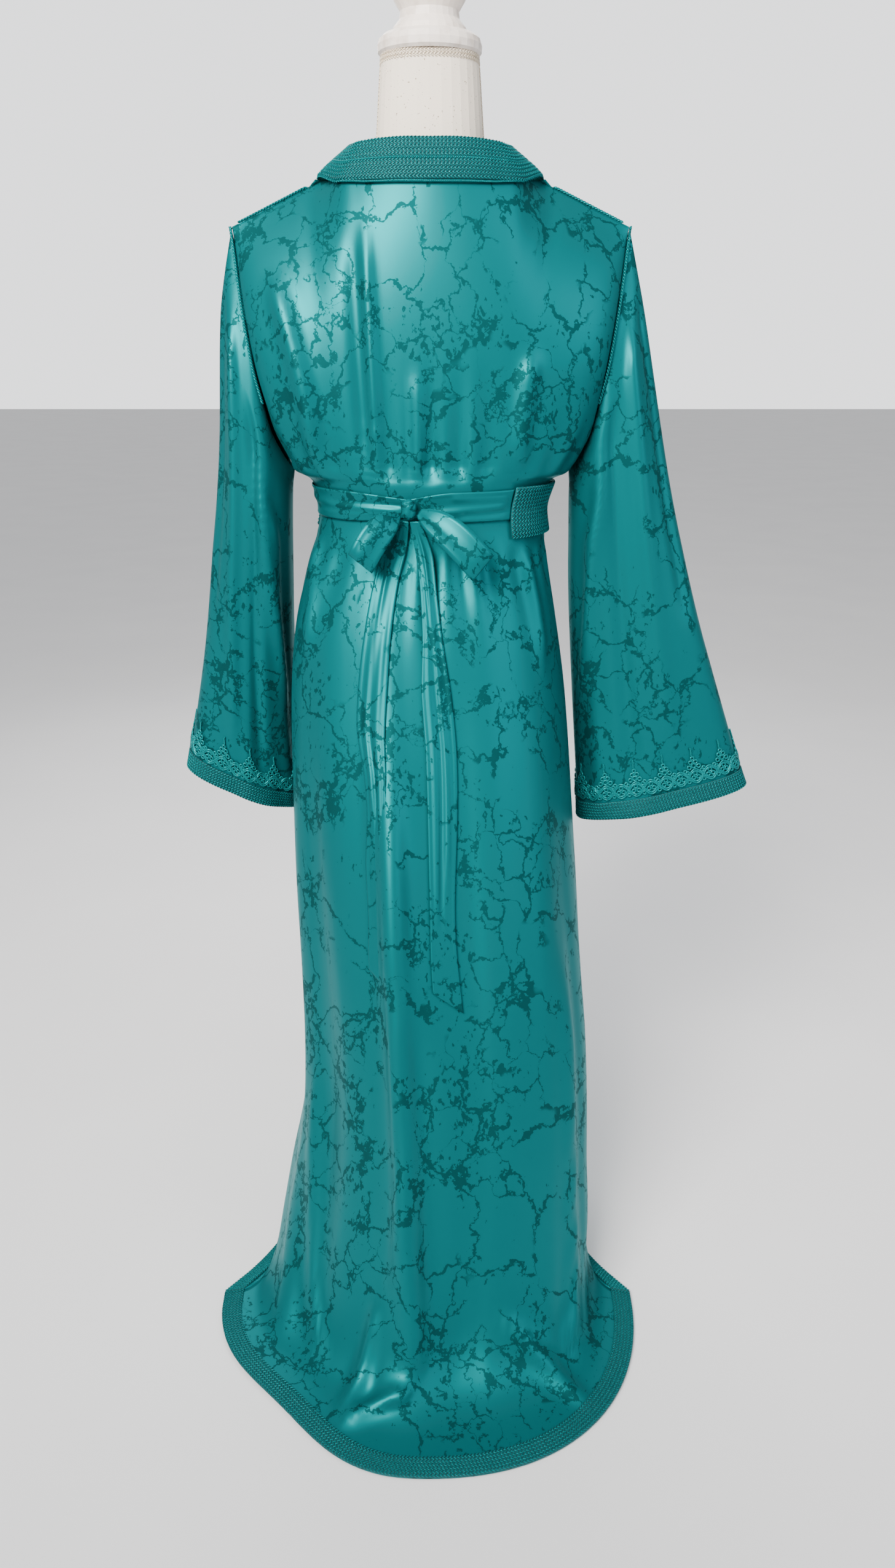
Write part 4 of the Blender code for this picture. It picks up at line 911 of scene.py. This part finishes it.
@dataclass
class Braid:
    """Sfifa: rows of silk chain plait sewn side by side on a narrow tape."""

    name: str
    points: np.ndarray
    outs: np.ndarray
    width: float
    rows: int
    side: float
    closed: bool = False
    pitch: float = 0.0042
    from_edge: float = 0.0
    tape_lift: float = 0.0013
    tape_wall: float = 0.0010
    plait_lift: float = 0.0017

    def build(self, material: Material, shape: tuple, *nodes: str) -> Object:
        """Make the tape with its plaits as one piece."""
        spread = self.from_edge + np.linspace(0.0, self.width, 6)
        lines, ways = inward_lines(self.points, self.outs, spread, self.tape_lift)
        tape = thin_shell(self.name + "_tape", lines, ways, self.tape_wall, False, self.side)
        row_width = self.width / self.rows
        middles = self.from_edge + (np.arange(self.rows) + 0.5) * row_width
        rows, up = inward_lines(self.points, self.outs, middles, self.plait_lift)
        plait = Plait(self.name, list(rows), list(up), row_width, self.pitch).build(shape)
        tape.data.materials.append(TapeCloth().build())
        plait.data.materials.append(material)
        return dress(join(plait, tape), None, "braid", *nodes)


def join(*pieces: Object) -> Object:
    """Join pieces into the first one."""
    select(*pieces)
    bpy.ops.object.join()
    return bpy.context.object


@dataclass(frozen=True)
class Lamp:
    """One soft square light."""

    name: str
    at: tuple
    aim: tuple
    size: float
    power: float
    tint: str
    spread_deg: float

    def build(self) -> None:
        """Hang the light and turn it to what it lights."""
        data = bpy.data.lights.new(self.name, "AREA")
        data.shape = "SQUARE"
        data.size = self.size
        data.spread = math.radians(self.spread_deg)
        data.energy = self.power
        data.color = linear(self.tint)[:3]
        lamp = link(bpy.data.objects.new(self.name, data))
        lamp.location = self.at
        lamp.rotation_euler = (Vector(self.aim) - Vector(self.at)).to_track_quat("-Z", "Y").to_euler()


LAMPS = (
    Lamp("key", (1.1, 2.2, 2.7), (0.05, 0.05, 1.25), 1.6, 52.0, "#FFFAF4", 78.0),
    Lamp("front", (0.3, -2.8, 2.4), (0.0, 0.0, 0.9), 2.0, 34.0, "#FFFFFF", 110.0),
    Lamp("fill", (-2.4, 1.8, 2.4), (0.0, 0.1, 1.1), 2.2, 14.0, "#F4F7FF", 100.0),
)


@dataclass(frozen=True)
class Studio:
    """Pale floor, camera and soft lights."""

    camera_at: tuple = (-0.02, 1.52, 1.20)
    pitch_deg: float = 69.0
    focal_px: float = 1900.0
    long_side_px: float = 2552.0
    world: str = "#E9EAEC"
    world_strength: float = 0.55
    wall_strength: float = 2.4
    floor_size: float = 40.0
    floor_z: float = -0.0006
    sun_power: float = 1.0
    sun_spread_deg: float = 60.0
    sun_turn_deg: tuple = (-24.0, 14.0, 0.0)

    def camera(self) -> None:
        """Place the camera behind the garment, looking down a little."""
        data = bpy.data.cameras.new("camera")
        data.sensor_width = 36.0
        data.lens = self.focal_px / self.long_side_px * 36.0
        camera = link(bpy.data.objects.new("camera", data))
        camera.location = self.camera_at
        camera.rotation_euler = (math.radians(self.pitch_deg), 0.0, math.pi)
        bpy.context.scene.camera = camera

    def build(self) -> None:
        """Make the floor, the world, the camera and the lights."""
        bpy.ops.object.select_all(action="DESELECT")
        bpy.ops.mesh.primitive_plane_add(size=self.floor_size, location=(0.0, 0.0, self.floor_z))
        floor = bpy.context.object
        floor.name = "studio_floor"
        floor.data.materials.append(StudioFloor().build())
        world = bpy.data.worlds.new("studio")
        world.use_nodes = True
        sky = world.node_tree.nodes["Background"]
        sky.inputs["Color"].default_value = linear(self.world)
        seen = add(world.node_tree, "ShaderNodeLightPath").outputs["Is Camera Ray"]
        power = add(world.node_tree, "ShaderNodeMapRange", {"Value": seen, "To Min": self.world_strength,
                                                            "To Max": self.wall_strength})
        world.node_tree.links.new(power.outputs["Result"], sky.inputs["Strength"])
        bpy.context.scene.world = world
        for lamp in LAMPS:
            lamp.build()
        data = bpy.data.lights.new("window", "SUN")
        data.energy = self.sun_power
        data.angle = math.radians(self.sun_spread_deg)
        sun = link(bpy.data.objects.new("window", data))
        sun.rotation_euler = [math.radians(turn) for turn in self.sun_turn_deg]
        self.camera()


@dataclass
class Ribbon:
    """One satin ribbon of the tied belt: tie, loop or tail."""

    node: str
    rows: int
    folds: tuple = ()
    columns: int = 4
    slant: float = 0.0
    flat: tuple = (0.036, 0.2)
    area: float = 0.007
    rests_on: tuple = ("satin_knot",)

    def cut_end(self, base: np.ndarray) -> np.ndarray:
        """Cut the lower end at a slant, so that its last column ends in a point."""
        places = np.arange(len(base), dtype=float)
        result = np.empty_like(base)
        for column in range(base.shape[1]):
            left = 1.0 - column / (base.shape[1] - 1.0)
            length = lengths(base[:, column])
            end = np.interp(length[-1] - left * self.slant, length, places)
            result[:, column] = read_along(np.linspace(0.0, end, len(base)), places, base[:, column])
        return result

    def build(self, material: Material) -> Object:
        """Make the folded ribbon as a thin shell."""
        grid = ClothGrid(self.node, self.rows, self.columns, 1.5, pick=Pick.BACKWARD)
        base = self.cut_end(grid.fine(8, 8)) if self.slant else grid.fine(8, 8)
        outs = grid.normals(base)
        lift = sum(fold.lift(*base.shape[:2]) for fold in HEM_LINES + self.folds)
        points = base + outs * lift[..., None]
        LOG.info("%s: widest row, longest column, area: %s", self.node, measure(points, False))
        outs = grid.normals(points)
        shell = thin_shell("ribbon_" + self.node, points, outs, RIBBON_WALL, False, grid.side)
        ribbon = dress(shell, material, "satin", self.node)
        return ribbon


@dataclass(frozen=True)
class Knot:
    """The knot of the bow: satin drawn tight in slanting wraps."""

    wraps: float = 3.2
    depth: float = 0.10

    def build(self, material: Material) -> Object:
        """Model the knot inside its solid's box."""
        corners = np.array([corner[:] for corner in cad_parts["belt_knot"].bound_box])
        low, high = corners.min(axis=0), corners.max(axis=0)
        bpy.ops.object.select_all(action="DESELECT")
        bpy.ops.mesh.primitive_uv_sphere_add(segments=40, ring_count=24, radius=1.0)
        knot = bpy.context.object
        knot.name = "satin_knot"
        edit_primitive(knot)
        bpy.ops.transform.rotate(value=math.radians(68.0), orient_axis="Y", center_override=(0.0, 0.0, 0.0))
        bpy.ops.object.mode_set(mode="OBJECT")
        points = spots_of(knot.data.vertices)
        slant = points[:, 2] * 0.55 + points[:, 0] * 0.83 + 0.22 * points[:, 1]
        fold = np.abs(np.sin(self.wraps * slant + 0.6)) ** 0.6
        squeeze = 1.0 - 0.12 * np.exp(-((points[:, 2] / 0.35) ** 2))
        points = points * ((1.0 - self.depth + self.depth * fold) * squeeze)[:, None]
        points = (low + high) / 2.0 + points * (high - low) / 2.0
        for vertex, place in zip(knot.data.vertices, points):
            vertex.co = place
        bpy.ops.object.shade_smooth()
        return dress(knot, material, "satin", "belt_knot")


def cord_path(node: str, gap: float = 0.006) -> np.ndarray:
    """Return the centre line of a packed cord: the middles of its rings, in order."""
    rings: list = []
    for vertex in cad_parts[node].data.vertices:
        spot = np.array(vertex.co[:])
        home = next((ring for ring in rings if np.linalg.norm(ring[0] - spot) < gap), None)
        if home is None:
            rings.append([spot])
        elif all(np.linalg.norm(known - spot) > 1e-5 for known in home):
            home.append(spot)
    middles = [np.mean(ring, axis=0) for ring in rings]
    best, best_length = [], 1e9
    for first in range(len(middles)):
        left = list(range(len(middles)))
        chain, length = [left.pop(first)], 0.0
        while left:
            steps = [np.linalg.norm(middles[number] - middles[chain[-1]]) for number in left]
            near = int(np.argmin(steps))
            length += steps[near]
            chain.append(left.pop(near))
        if length < best_length:
            best, best_length = chain, length
    return np.array([middles[number] for number in best])


@dataclass
class SeamCord:
    """A two-ply silk cord sewn along a seam."""

    node: str
    seam: np.ndarray | None = None
    ply: float = 0.0010
    pitch: float = 0.0075
    top_gap: float = 0.0025

    def build(self, material: Material) -> Object:
        """Make the cord along its solid's centre line, or along the given seam beside it."""
        path = cord_path(self.node)
        line = smooth(path, np.linspace(0.0, len(path) - 1.0, 12 * len(path)))
        if self.seam is not None:
            low, high = sorted((float(path[0, 0]), float(path[-1, 0])))
            inside = (self.seam[:, 0] > low) & (self.seam[:, 0] < high)
            line = self.seam[inside] + np.array([0.0, 0.0, 1.2 * self.ply])
        line[:, 2] = np.minimum(line[:, 2], float(path[:, 2].max()) - self.top_gap)
        out = unit(line - np.array([0.0, 0.0, float(line[:, 2].mean())])) + np.array([0.0, 0.1, 0.3])
        cord = CordWork("cord_" + self.node, twist(line, out, self.ply, self.pitch), self.ply).build()
        return dress(cord, material, "braid", self.node)


ROSETTE_TURNS = (0.5, 1.1667, 1.8333)
PYRAMID_MM = ((0.0, 53.5, 2.9), (-6.3, 52.0, 2.5), (6.3, 52.0, 2.5), (-3.3, 58.6, 2.5), (3.3, 58.6, 2.5),
              (0.0, 63.8, 2.3), (-12.2, 47.6, 2.2), (12.2, 47.6, 2.2))
TIP_MM = ((0.0, 66.0), (0.6, 69.0), (0.0, 72.5), (-0.5, 76.0), (0.0, 79.0))


@dataclass
class SleeveEmbroidery:
    """Cord embroidery round a sleeve above its cuff: waves, loops and little pyramids, in the old style.

    Pattern lengths are in millimetres: x round the sleeve, y up from the cuff's edge.
    """

    name: str
    points: np.ndarray
    outs: np.ndarray
    repeat_mm: float = 39.0
    cord: float = 0.0012
    lift: float = 0.0014
    top_mm: float = 92.0
    wave_mm: float = 39.0
    swing_mm: float = 8.5
    pair_mm: float = 1.4

    def __post_init__(self) -> None:
        """Unroll the lower sleeve into a table of heights by columns."""
        self.heights = np.arange(0.0, self.top_mm + 2.0, 2.0)
        self.table, self.ways = inward_lines(self.points, self.outs, self.heights * MM, 0.0)
        middle = self.table[len(self.heights) // 2]
        self.round = lengths(middle) / MM
        self.repeats = max(1, round(self.round[-1] / self.repeat_mm))

    def place(self, x: np.ndarray, y: np.ndarray, rise: float = 0.0) -> np.ndarray:
        """Put pattern points on the sleeve."""
        x = np.mod(x, self.repeats * self.repeat_mm) * self.round[-1] / (self.repeats * self.repeat_mm)
        column = np.interp(x, self.round, np.arange(len(self.round)))
        row = np.interp(y, self.heights, np.arange(len(self.heights)))
        low_c = np.minimum(column.astype(int), len(self.round) - 2)
        low_r = np.minimum(row.astype(int), len(self.heights) - 2)
        part_c, part_r = (column - low_c)[:, None], (row - low_r)[:, None]

        def read(table: np.ndarray) -> np.ndarray:
            """Read a table between its four nearest entries."""
            near = table[low_r, low_c] * (1 - part_c) + table[low_r, low_c + 1] * part_c
            far = table[low_r + 1, low_c] * (1 - part_c) + table[low_r + 1, low_c + 1] * part_c
            return near * (1 - part_r) + far * part_r

        return read(self.table) + unit(read(self.ways)) * (self.lift + rise)

    def coil(self, x: float, y: float, radius: float, start: float = 0.0) -> np.ndarray:
        """Return one small loop of cord, a little more than one turn."""
        turn = np.linspace(start, start + 2.3 * math.pi, 15)
        return self.place(x + radius * np.cos(turn), y + radius * np.sin(turn))

    def lines(self) -> list:
        """Return every cord of the pattern."""
        result = []
        whole = self.repeats * self.repeat_mm
        x = np.linspace(0.0, whole, int(whole / 1.6))
        wave = np.cos(2.0 * math.pi * x / self.repeat_mm)
        for sign in (1.0, -1.0):
            crossing = 0.5 + 0.5 * sign * np.sin(4.0 * math.pi * x / self.repeat_mm)
            middle = self.wave_mm + sign * self.swing_mm * wave
            for gap in (-self.pair_mm, self.pair_mm):
                line = self.place(x, middle + gap)
                result.append(line + unit(self.place(x, middle, 0.01) - line) * 0.0009 * crossing[:, None])
        tip_x, tip_y = np.array(TIP_MM).T
        for number in range(self.repeats):
            peak = number * self.repeat_mm
            for dx, dy, radius in PYRAMID_MM:
                result.append(self.coil(peak + dx, dy, radius, start=math.pi / 2.0))
            result.append(self.place(peak + tip_x, tip_y))
            for middle in (peak, peak + self.repeat_mm / 2.0):
                for turn in ROSETTE_TURNS:
                    angle = turn * math.pi
                    side, up = 3.7 * math.cos(angle), 3.7 * math.sin(angle)
                    result.append(self.coil(middle + side, self.wave_mm + up, 2.4, start=angle))
            for quarter in (0.25, 0.75):
                for height in (32.5, 45.5):
                    result.append(self.coil(peak + quarter * self.repeat_mm, height, 2.1))
        return result

    def build(self, material: Material) -> Object:
        """Make the embroidery as one piece."""
        cords = CordWork(self.name, self.lines(), self.cord).build()
        return dress(cords, material, "braid")


@dataclass(frozen=True)
class DressForm:
    """The linen form with its painted cap, knob and base, and the gimp braid on its neck."""

    gimp_width: float = 0.0045
    gimp_pitch: float = 0.0040
    gimp_height: float = 0.0018
    ring_heights: tuple = (1.4905, 1.4862)
    ring_lift: float = 0.0006
    seam_heights: tuple = (1.483, 1.405)
    seam_lift: float = 0.0004

    def outline(self, z: float, turns: np.ndarray) -> tuple[np.ndarray, np.ndarray]:
        """Return points and directions on the form's neck at one height."""
        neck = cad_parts["form_neck"]
        spots, ways = [], []
        for turn in turns:
            away = Vector((math.cos(turn), math.sin(turn), 0.0))
            hit, spot, way, _ = neck.ray_cast(away * 0.5 + Vector((0.0, 0.0, z)), -away)
            if hit:
                spots.append(spot[:])
                ways.append(unit(np.array(way[:])))
        return np.array(spots), np.array(ways)

    def build(self, silk: Material, stitch: tuple) -> None:
        """Give the solids their materials and sew the gimp on."""
        wood = PaintedBeech().build()
        linen = Linen().build()
        looks = dict.fromkeys(("form_torso", "form_neck"), linen)
        looks |= dict.fromkeys(("neck_cap", "neck_knob", "stand_base"), wood)
        looks["stand_pole"] = BrushedSteel().build()
        for node, material in looks.items():
            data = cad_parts[node].data
            data.materials.clear()
            data.materials.append(material)
            LOG.info("%s keeps its solid", node)
        turns = np.linspace(0.0, 2.0 * math.pi, 97)
        lines, outs = [], []
        for z in self.ring_heights:
            spots, ways = self.outline(z, turns)
            lines.append(spots + ways * self.ring_lift)
            outs.append(ways)
        for side in (0.0, math.pi):
            heights = np.linspace(*self.seam_heights, 12)
            spots, ways = zip(*(self.outline(z, np.array([side])) for z in heights))
            spots, ways = np.concatenate(spots), np.concatenate(ways)
            lines.append(spots + ways * self.seam_lift)
            outs.append(ways)
        gimp = Plait("neck_gimp", lines, outs, self.gimp_width, self.gimp_pitch, self.gimp_height)
        dress(gimp.build(stitch), silk, "linen")


@dataclass(frozen=True)
class Collar:
    """The standing collar: two plaited bands with a groove between them, and a cord at the lower edge."""

    margin: float = 0.006
    top_gap: float = 0.0004
    groove: float = 0.0026
    groove_middle: float = 0.0014
    foot: float = 0.0016
    cord_lift: float = 0.0012
    ply: float = 0.0006
    pitch: float = 0.0045
    cord: float = 0.0007

    def build(self, silk: Material, stitch: tuple) -> None:
        """Make the collar's shell and its plaits."""
        cloth = Cloth(ClothGrid("neck_band", 5, 19, 1.4), down=4, across=6, slot="braid",
                      flat=(0.78, 0.050), area=0.0309, held="stretched", rests_on=("cloth_back_panel",))
        band = cloth.build(silk, "collar_band")
        points, outs = cloth.edge(Edge.TOP)
        length = float(np.linalg.norm(np.diff(points[:, points.shape[1] // 2], axis=0), axis=1).sum())
        half = (length - self.margin) / 2.0
        upper = Braid("collar_braid_upper", points, outs, half, 5, cloth.grid.side, from_edge=self.top_gap)
        lower = Braid("collar_braid_lower", points, outs, half, 5, cloth.grid.side,
                      from_edge=half + self.groove)
        trims = [upper.build(silk, stitch), lower.build(silk, stitch)]
        places = np.array([half + self.groove_middle, length - self.foot])
        cords = []
        for row, up in zip(*inward_lines(points, outs, places, self.cord_lift)):
            cords += twist(row, up, self.ply, self.pitch)
        trims.append(dress(CordWork("collar_cord", cords, self.cord).build(), silk, "braid"))
        cloth.declare(band, trims)


@dataclass(frozen=True)
class Belt:
    """The belt: a stiff front panel with rows of plait, two satin ties and a bow."""

    rows: int = 13
    width: float = 0.0615
    pitch: float = 0.0050
    top_gap: float = 0.0002

    def build(self, satin: Material, silk: Material, stitch: tuple) -> None:
        """Make every piece of the belt."""
        Knot().build(satin)
        cloth = Cloth(ClothGrid("belt_front", 3, 32, 1.4), down=6, across=5, flat=(0.51, 0.062),
                      area=0.0315, held="stretched")
        panel = cloth.build(satin, "belt_panel")
        points, outs = cloth.edge(Edge.TOP)
        plaits = Braid("belt_plaits", points, outs, self.width, self.rows, cloth.grid.side, pitch=self.pitch,
                       from_edge=self.top_gap).build(silk, stitch)
        cloth.declare(panel, [plaits])
        for ribbon in RIBBONS:
            ribbon.build(satin)


HEM_LINES = (Fold((0.0, 0.07), (1.0, 0.07), 0.035, 0.0006), Fold((0.0, 0.93), (1.0, 0.93), 0.035, 0.0006))
RIBBONS = (
    Ribbon("belt_tie_left", 15, (
        Fold((0.0, 0.35), (1.0, 0.62), 0.14, 0.0022), Fold((0.3, 0.80), (1.0, 0.75), 0.09, 0.0014),
        Fold((0.4, 0.40), (1.0, 0.35), 0.10, -0.0014)), 3, flat=(0.037, 0.206), area=0.0069,
           rests_on=("cloth_back_panel",)),
    Ribbon("belt_tie_right", 15, (
        Fold((0.0, 0.50), (0.8, 0.30), 0.12, 0.0022), Fold((0.0, 0.72), (0.6, 0.80), 0.10, 0.0014),
        Fold((0.0, 0.30), (0.5, 0.25), 0.08, -0.0012)), 3, flat=(0.037, 0.131), area=0.0043,
           rests_on=("cloth_back_panel",)),
    Ribbon("bow_loop_left", 25, (
        Fold((0.0, 0.45), (0.5, 0.35), 0.13, 0.0022), Fold((0.55, 0.60), (1.0, 0.50), 0.12, 0.0018)), 2,
        flat=(0.037, 0.172), area=0.0052),
    Ribbon("bow_loop_right", 25, (
        Fold((0.0, 0.50), (0.45, 0.62), 0.12, 0.0024), Fold((0.5, 0.35), (1.0, 0.55), 0.13, 0.0018),
        Fold((0.1, 0.25), (0.5, 0.30), 0.10, -0.0012)), 2, flat=(0.039, 0.222), area=0.0072),
    Ribbon("bow_tail_left", 23, (
        Fold((0.0, 0.50), (0.7, 0.30), 0.12, 0.0024), Fold((0.2, 0.75), (1.0, 0.62), 0.14, 0.0016),
        Fold((0.1, 0.35), (0.8, 0.55), 0.09, -0.0016)), slant=0.026, flat=(0.040, 0.582), area=0.0193),
    Ribbon("bow_tail_right", 21, (
        Fold((0.0, 0.45), (0.8, 0.70), 0.12, 0.0024), Fold((0.1, 0.25), (0.9, 0.30), 0.12, 0.0014),
        Fold((0.2, 0.55), (0.9, 0.45), 0.09, -0.0016)), slant=0.030, flat=(0.040, 0.600), area=0.0183),
)
BACK_CREASES = (
    Crease(((73, 76, 1332), (70, 95, 1243), (66, 102, 1138), (62, 102, 1022)), 7, 6.4),
    Crease(((88, 80, 1320), (85, 93, 1243), (80, 100, 1138), (75, 100, 1030)), 10, -4.8),
    Crease(((16, 98, 1165), (14, 104, 1110), (15, 104, 1035)), 8, 4.8),
    Crease(((184, 47, 1277), (162, 80, 1204), (144, 88, 1124), (134, 77, 1046)), 13, 9.6),
    Crease(((-120, 92, 1191), (-111, 96, 1124), (-104, 89, 1040)), 12, 8),
    Crease(((53, 171, 782), (47, 259, 558), (38, 325, 367), (30, 394, 181), (22, 442, 75),
            (14, 495, 16)), 16, 12.8),
    Crease(((25, 300, 460), (10, 340, 330), (0, 395, 181), (-8, 440, 75)), 20, -9.6),
    Crease(((152, 215, 341), (152, 271, 182), (149, 350, 53), (141, 444, 7)), 16, 9.6),
    Crease(((-159, 196, 526), (-174, 274, 281), (-177, 355, 66), (-173, 437, 9)), 18, 11.2),
    Crease(((-77, 414, 85), (-143, 440, 21), (-199, 486, 5)), 12, 9.6),
    Crease(((62, 406, 109), (82, 451, 25), (115, 506, 4)), 12, 9.6),
    Crease(((114, 509, 4), (74, 493, 9), (39, 484, 22), (24, 491, 19)), 10, 11.2),
    Crease(((141, 33, 974), (147, 73, 904), (156, 97, 816)), 11, 6.4),
    Crease(((-112, 76, 965), (-128, 85, 891), (-141, 106, 802)), 11, 6.4),
)
SLEEVE_LEFT_CREASES = (
    Crease(((218, 50, 1094), (210, 45, 945), (206, 15, 819), (201, -14, 698)), 9, 6.4),
)
SLEEVE_RIGHT_CREASES = (
    Crease(((-210, 49, 1094), (-207, 41, 944), (-203, 27, 822), (-199, 19, 709)), 9, 6.4),
)
SLEEVE_FOLDS = (
    Fold((0.06, 0.15), (0.92, 0.22), 0.028, 0.0060), Fold((0.15, 0.25), (0.97, 0.31), 0.026, -0.0065),
    Fold((0.30, 0.35), (1.00, 0.39), 0.028, 0.0060), Fold((0.08, 0.07), (0.70, 0.10), 0.030, -0.0045),
    Fold((0.10, 0.66), (0.90, 0.72), 0.030, 0.0050), Fold((0.20, 0.79), (0.95, 0.81), 0.028, -0.0050),
)


@dataclass
class Garment:
    """The kaftan: panels and sleeves, and the braids on their edges."""

    satin: Material
    silk: Material
    cord: Material
    stitch: tuple
    cuff_width: float = 0.025
    band_width: float = 0.0255
    band_pitch: float = 0.0052
    shoulders: np.ndarray = field(init=False, repr=False)

    def build(self) -> None:
        """Make every piece of cloth with its trims."""
        gathers = Gathers()
        back = Cloth(ClothGrid("back_panel", 31, 33, 1.8), BACK_CREASES, gathers, flat=(0.86, 1.57),
                     area=0.900)
        left, right = (
            Cloth(ClothGrid(node, 31, 13, 1.8, first_column=middle), (), gathers, flat=(0.60, 1.50),
                  area=0.415)
            for node, middle in (("front_left", (-1.0, 0.0, 0.0)), ("front_right", (1.0, 0.0, 0.0)))
        )
        sleeve_left, sleeve_right = (
            Cloth(ClothGrid(node, 15, 22, 1.6, closed=True), creases, folds=SLEEVE_FOLDS, down=8, across=6,
                  flat=flat, area=area, rests_on=("cloth_back_panel", front))
            for node, creases, flat, area, front in (
                ("sleeve_left", SLEEVE_LEFT_CREASES, (0.61, 0.69), 0.213, "cloth_front_left"),
                ("sleeve_right", SLEEVE_RIGHT_CREASES, (0.61, 0.72), 0.247, "cloth_front_right"),
            )
        )
        self.shoulders = back.points[0]
        left.meet(self.shoulders)
        right.meet(self.shoulders)
        for cloth in (back, left, right, sleeve_left, sleeve_right):
            piece = cloth.build(self.satin, "cloth_" + cloth.grid.node)
            side = cloth.grid.side
            points, outs = cloth.edge(Edge.BOTTOM)
            if cloth.grid.closed:
                cuff = cloth.grid.node.replace("sleeve", "cuff_band")
                braid = Braid("braid_" + cuff, points, outs, self.cuff_width, 6, -side)
                braid = braid.build(self.silk, self.stitch, cuff)
                pattern = SleeveEmbroidery("embroidery_" + cloth.grid.node, points, outs)
                trims = [braid, pattern.build(self.cord)]
            else:
                hem = "hem_band_back" if cloth is back else cloth.grid.node.replace("front", "hem_band")
                braid = Braid("braid_" + hem, points, outs, self.band_width, 6, -side)
                trims = [braid.build(self.silk, self.stitch, hem)]
            if cloth in (left, right):
                points, outs = cloth.edge(Edge.SIDE)
                band = cloth.grid.node.replace("front", "front_band")
                braid = Braid("braid_" + band, points, outs, self.band_width, 5, side, pitch=self.band_pitch)
                trims.append(braid.build(self.silk, self.stitch, band))
            cloth.declare(piece, trims)


def main() -> None:
    """Build every class in order and report each piece."""
    logging.basicConfig(level=logging.INFO, format="%(name)s %(message)s")
    satin = JacquardSatin().build()
    silk = SilkBraid().build()
    stitch = stitch_shape()
    cord = SilkBraid("silk_cord_light", "#0C8B8D", "#004E50").build()
    garment = Garment(satin, silk, cord, stitch)
    garment.build()
    for node in ("armhole_cord_left", "armhole_cord_right"):
        SeamCord(node).build(silk)
    for node in ("shoulder_cord_left", "shoulder_cord_right"):
        SeamCord(node, garment.shoulders).build(silk)
    Collar().build(silk, stitch)
    Belt().build(JacquardSatin("jacquard_satin_ties", 7.3).build(), silk, stitch)
    DressForm().build(SilkBraid("gimp_ecru", "#F0E6D6", "#CDBDA2", "#FFFFFF").build(), stitch)
    Studio().build()


if __name__ == "__main__":
    main()
